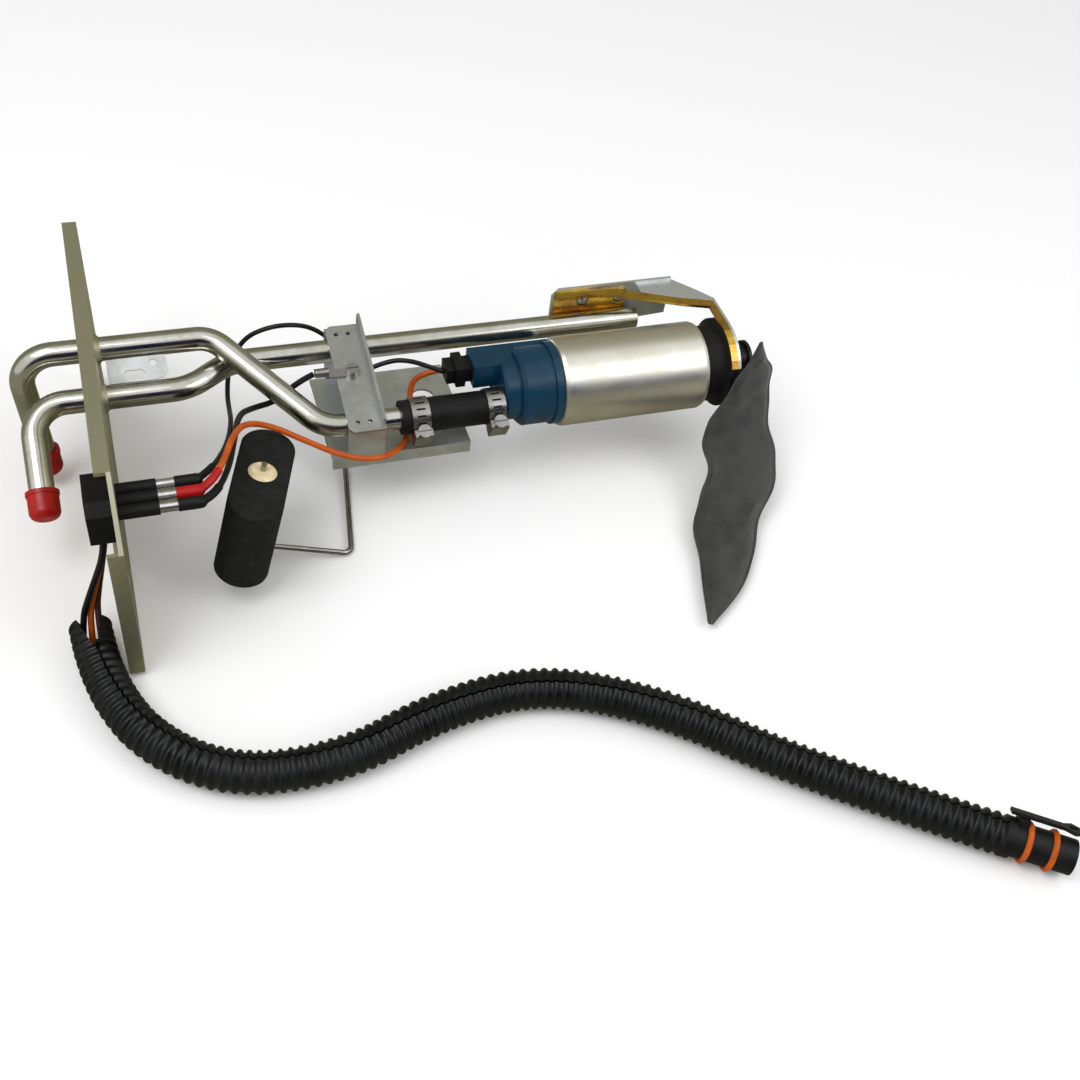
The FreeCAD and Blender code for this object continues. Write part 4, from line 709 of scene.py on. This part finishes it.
@dataclass
class Loom:
    """Corrugated split tube that carries the harness across the table to its plug."""

    cord: Cord = field(default_factory=lambda: Cord(
        "harness_loom", "loom_tube",
        [(x, y, -35.2) for x, y in ((-17, -64), (-15, -101), (16, -139), (60, -144), (100, -129), (140, -126),
                                    (182, -147), (224, -187), (282, -228))],
        7.8, 384, LOOM_PLASTIC, "black_plastic", "stiff", "plug"))
    crest_mm: float = 7.8
    valley_mm: float = 6.7
    pitch_mm: float = 3.8
    wall_mm: float = 0.7
    slit_half_mm: float = 0.45
    sides: int = 28
    wave: tuple[float, ...] = (1.0, 1.0, 0.75, 0.1, 0.0, 0.0, 0.1, 0.75)
    roll_degrees: float = 14
    open_share: float = 0.045
    gape: float = 0.55
    smooth_degrees: float = 50

    def frames(self) -> list[tuple[Vector, Vector, Vector, float]]:
        """Step along the centre line in equal short steps.

        Returns:
            For each step its place, sideways and upward directions and share of the way.
        """
        line = self.cord.samples()
        whole = line_lengths(line)[-1]
        count = round(whole / (self.pitch_mm * MM)) * len(self.wave)
        distances = [whole * k / count for k in range(count + 1)]
        return [(place, UPWARD.cross(along).normalized(), UPWARD, distance / whole)
                for distance, (place, along) in zip(distances, walk(line, distances))]

    def angles(self) -> list[float]:
        """Give the angles of the columns round the tube: both lips of the slit are at the top.

        Returns:
            The angles in radians, from one lip round to the other.
        """
        lip = self.slit_half_mm / self.crest_mm
        return [lip + (math.tau - 2 * lip) * i / self.sides for i in range(self.sides + 1)]

    def build(self, with_pieces: Sequence[str]) -> bpy.types.Object:
        """Args:
            with_pieces: the plug's nodes and the wires that run in it; not used.

        Returns:
            The loom's object.
        """
        frames, angles = self.frames(), self.angles()
        ring = len(angles)
        points: list[Vector] = []
        for inner in (False, True):
            for k, (place, side, up, share) in enumerate(frames):
                crest = self.valley_mm + (self.crest_mm - self.valley_mm) * self.wave[k % len(self.wave)]
                radius = (crest - self.wall_mm if inner else crest) * MM
                roll = math.radians(self.roll_degrees * math.sin(share * 9.0))
                gape = self.gape * max(0.0, 1 - share / self.open_share)
                for j, angle in enumerate(angles):
                    weight = (1 + math.cos(angle)) / 2
                    shifted = angle + gape * (1 - j / (ring - 1) * 2) * weight
                    points.append(place + side * (radius * math.sin(shifted + roll))
                                  + up * (radius * math.cos(shifted + roll)))
        faces: list[tuple[int, ...]] = []
        total = len(frames) * ring
        for k in range(len(frames) - 1):
            for j in range(ring - 1):
                a, b = k * ring + j, (k + 1) * ring + j
                faces.append((a, a + 1, b + 1, b))
                faces.append((total + a, total + b, total + b + 1, total + a + 1))
            for j in (0, ring - 1):
                a, b = k * ring + j, (k + 1) * ring + j
                lip = (a, b, total + b, total + a)
                faces.append(lip if j == 0 else tuple(reversed(lip)))
        for k in (0, len(frames) - 1):
            for j in range(ring - 1):
                a = k * ring + j
                end = (a, total + a, total + a + 1, a + 1)
                faces.append(end if k == 0 else tuple(reversed(end)))
        obj = Bench.mesh_piece(self.cord.name, points, faces)
        Bench.tidy_shell(obj, self.smooth_degrees)
        Bench.dress(obj, self.cord.name, self.cord.finish, slot=self.cord.slot, stands_for=[self.cord.node])
        return obj


@dataclass
class Harness:
    """The loose wires: from the block to the loom, and from the block to pump, ground and sender."""

    leads: list[Cord] = field(default_factory=lambda: [
        Cord("pump_supply_wire", "orange_wire",
             [(27.7, -57.5, 22), (33, -55, 23), (39, -45, 24), (44, -31, 22), (50, -20, 17), (60, -16, 10),
              (72, -19, 3), (88, -25, -4), (103, -23, -9), (113, -15, -11.2), (118, -5, -11.2), (121, 6, -8.5),
              (122, 11, -1.5), (126.5, 11, 3.5), (134.5, 9.2, 6)], 1.2, 165, ORANGE_PVC, "orange_insulation", "limp"),
        Cord("block_ground_wire", "black_wire",
             [(27.7, -63.1, 22), (33, -60, 21), (40, -44, 17), (45, -24, 14), (49, -6, 9), (56, 5, 1.5),
              (66, 10, -1), (75, 12, 6), (81.2, 10.5, 10.4)], 1.2, 108, BLACK_PVC, "black_insulation", "limp"),
        Cord("sender_lead", "sender_wire",
             [(27.7, -51.9, 22), (32, -48, 21), (38, -36, 16), (43, -22, 11.5), (46, -6, 6), (47, 9, -2),
              (48, 24, -6), (51, 37, -2), (58, 41, 8), (68, 39, 14), (78, 38, 15), (87, 42, 9), (95, 44, 0),
              (102, 42, -10), (109, 34, -18), (110, 18.2, -19)], 1.0, 196, BLACK_PVC, "black_insulation", "limp"),
        Cord("plug_ground_wire", "pump_ground_wire",
             [(134.5, 4.6, 8.6), (128, 4.6, 12.5), (120, 7, 15), (112.5, 9.5, 14), (105.9, 10, 11.1)],
             1.0, 31, BLACK_PVC, "black_insulation", "limp"),
    ])
    feed_path: list[tuple[float, float, float]] = field(default_factory=lambda: [
        (-6.1, 0, 13.3), (-6.6, 0, 2), (-10, -0.5, -10), (-13.5, -1.5, -21), (-16.5, -3.5, -31), (-17, -11, -39.3)])
    block_y_mm: float = -57.5
    pin_mm: float = 5.6
    mouth_mm: float = 3.3

    def block_wires(self) -> list[Cord]:
        """Lay the three wires from the block down into the mouth of the loom.

        Returns:
            The black, the orange and the brown wire.
        """
        last = len(self.feed_path) - 1
        found = []
        for step, colour, finish, slot in ((-1, "black", BLACK_PVC, "black_insulation"),
                                           (0, "orange", ORANGE_PVC, "orange_insulation"),
                                           (1, "brown", BROWN_PVC, "brown_insulation")):
            points = [(x + step * self.mouth_mm * i / last,
                       self.block_y_mm + y + step * self.pin_mm * (1 - i / last), z)
                      for i, (x, y, z) in enumerate(self.feed_path)]
            found.append(Cord(f"block_wire_{colour}", f"harness_wire_{colour}", points, 1.2, 57, finish, slot,
                              "limp"))
        return found

    def build(self) -> None:
        """Make every wire, the shrink sleeves on three of them, then the loom."""
        for lead in [*self.leads, *self.block_wires()]:
            lead.build()
        supply, ground, sender, _ = self.leads
        for name, finish, wire in (("supply_shrink_sleeve", SHRINK_RED, supply),
                                   ("ground_shrink_sleeve", SHRINK_BLACK, ground),
                                   ("sender_shrink_sleeve", SHRINK_BLACK, sender)):
            Sleeve(name, finish, wire).build()
        Loom().build(["plug_body", "plug_seals", "plug_contacts", "plug_latch"])


def dress_nodes() -> None:
    """Give every carried-over CAD node the material of its real finish."""
    for name, finish in NODE_FINISH.items():
        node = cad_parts[name]
        made = finish.material()
        if node.material_slots:
            for spot in node.material_slots:
                spot.material = made
        else:
            node.data.materials.append(made)
        LOG.info("%s: %s", name, finish.name)


def main() -> None:
    """Build the scene in order."""
    logging.basicConfig(level=logging.INFO, format="%(name)s %(message)s")
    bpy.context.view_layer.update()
    PhotoCamera().build()
    Harness().build()
    Sock().build()
    dress_nodes()
    Studio().build()
    Bench.clear_selection()


if __name__ == "__main__":
    main()
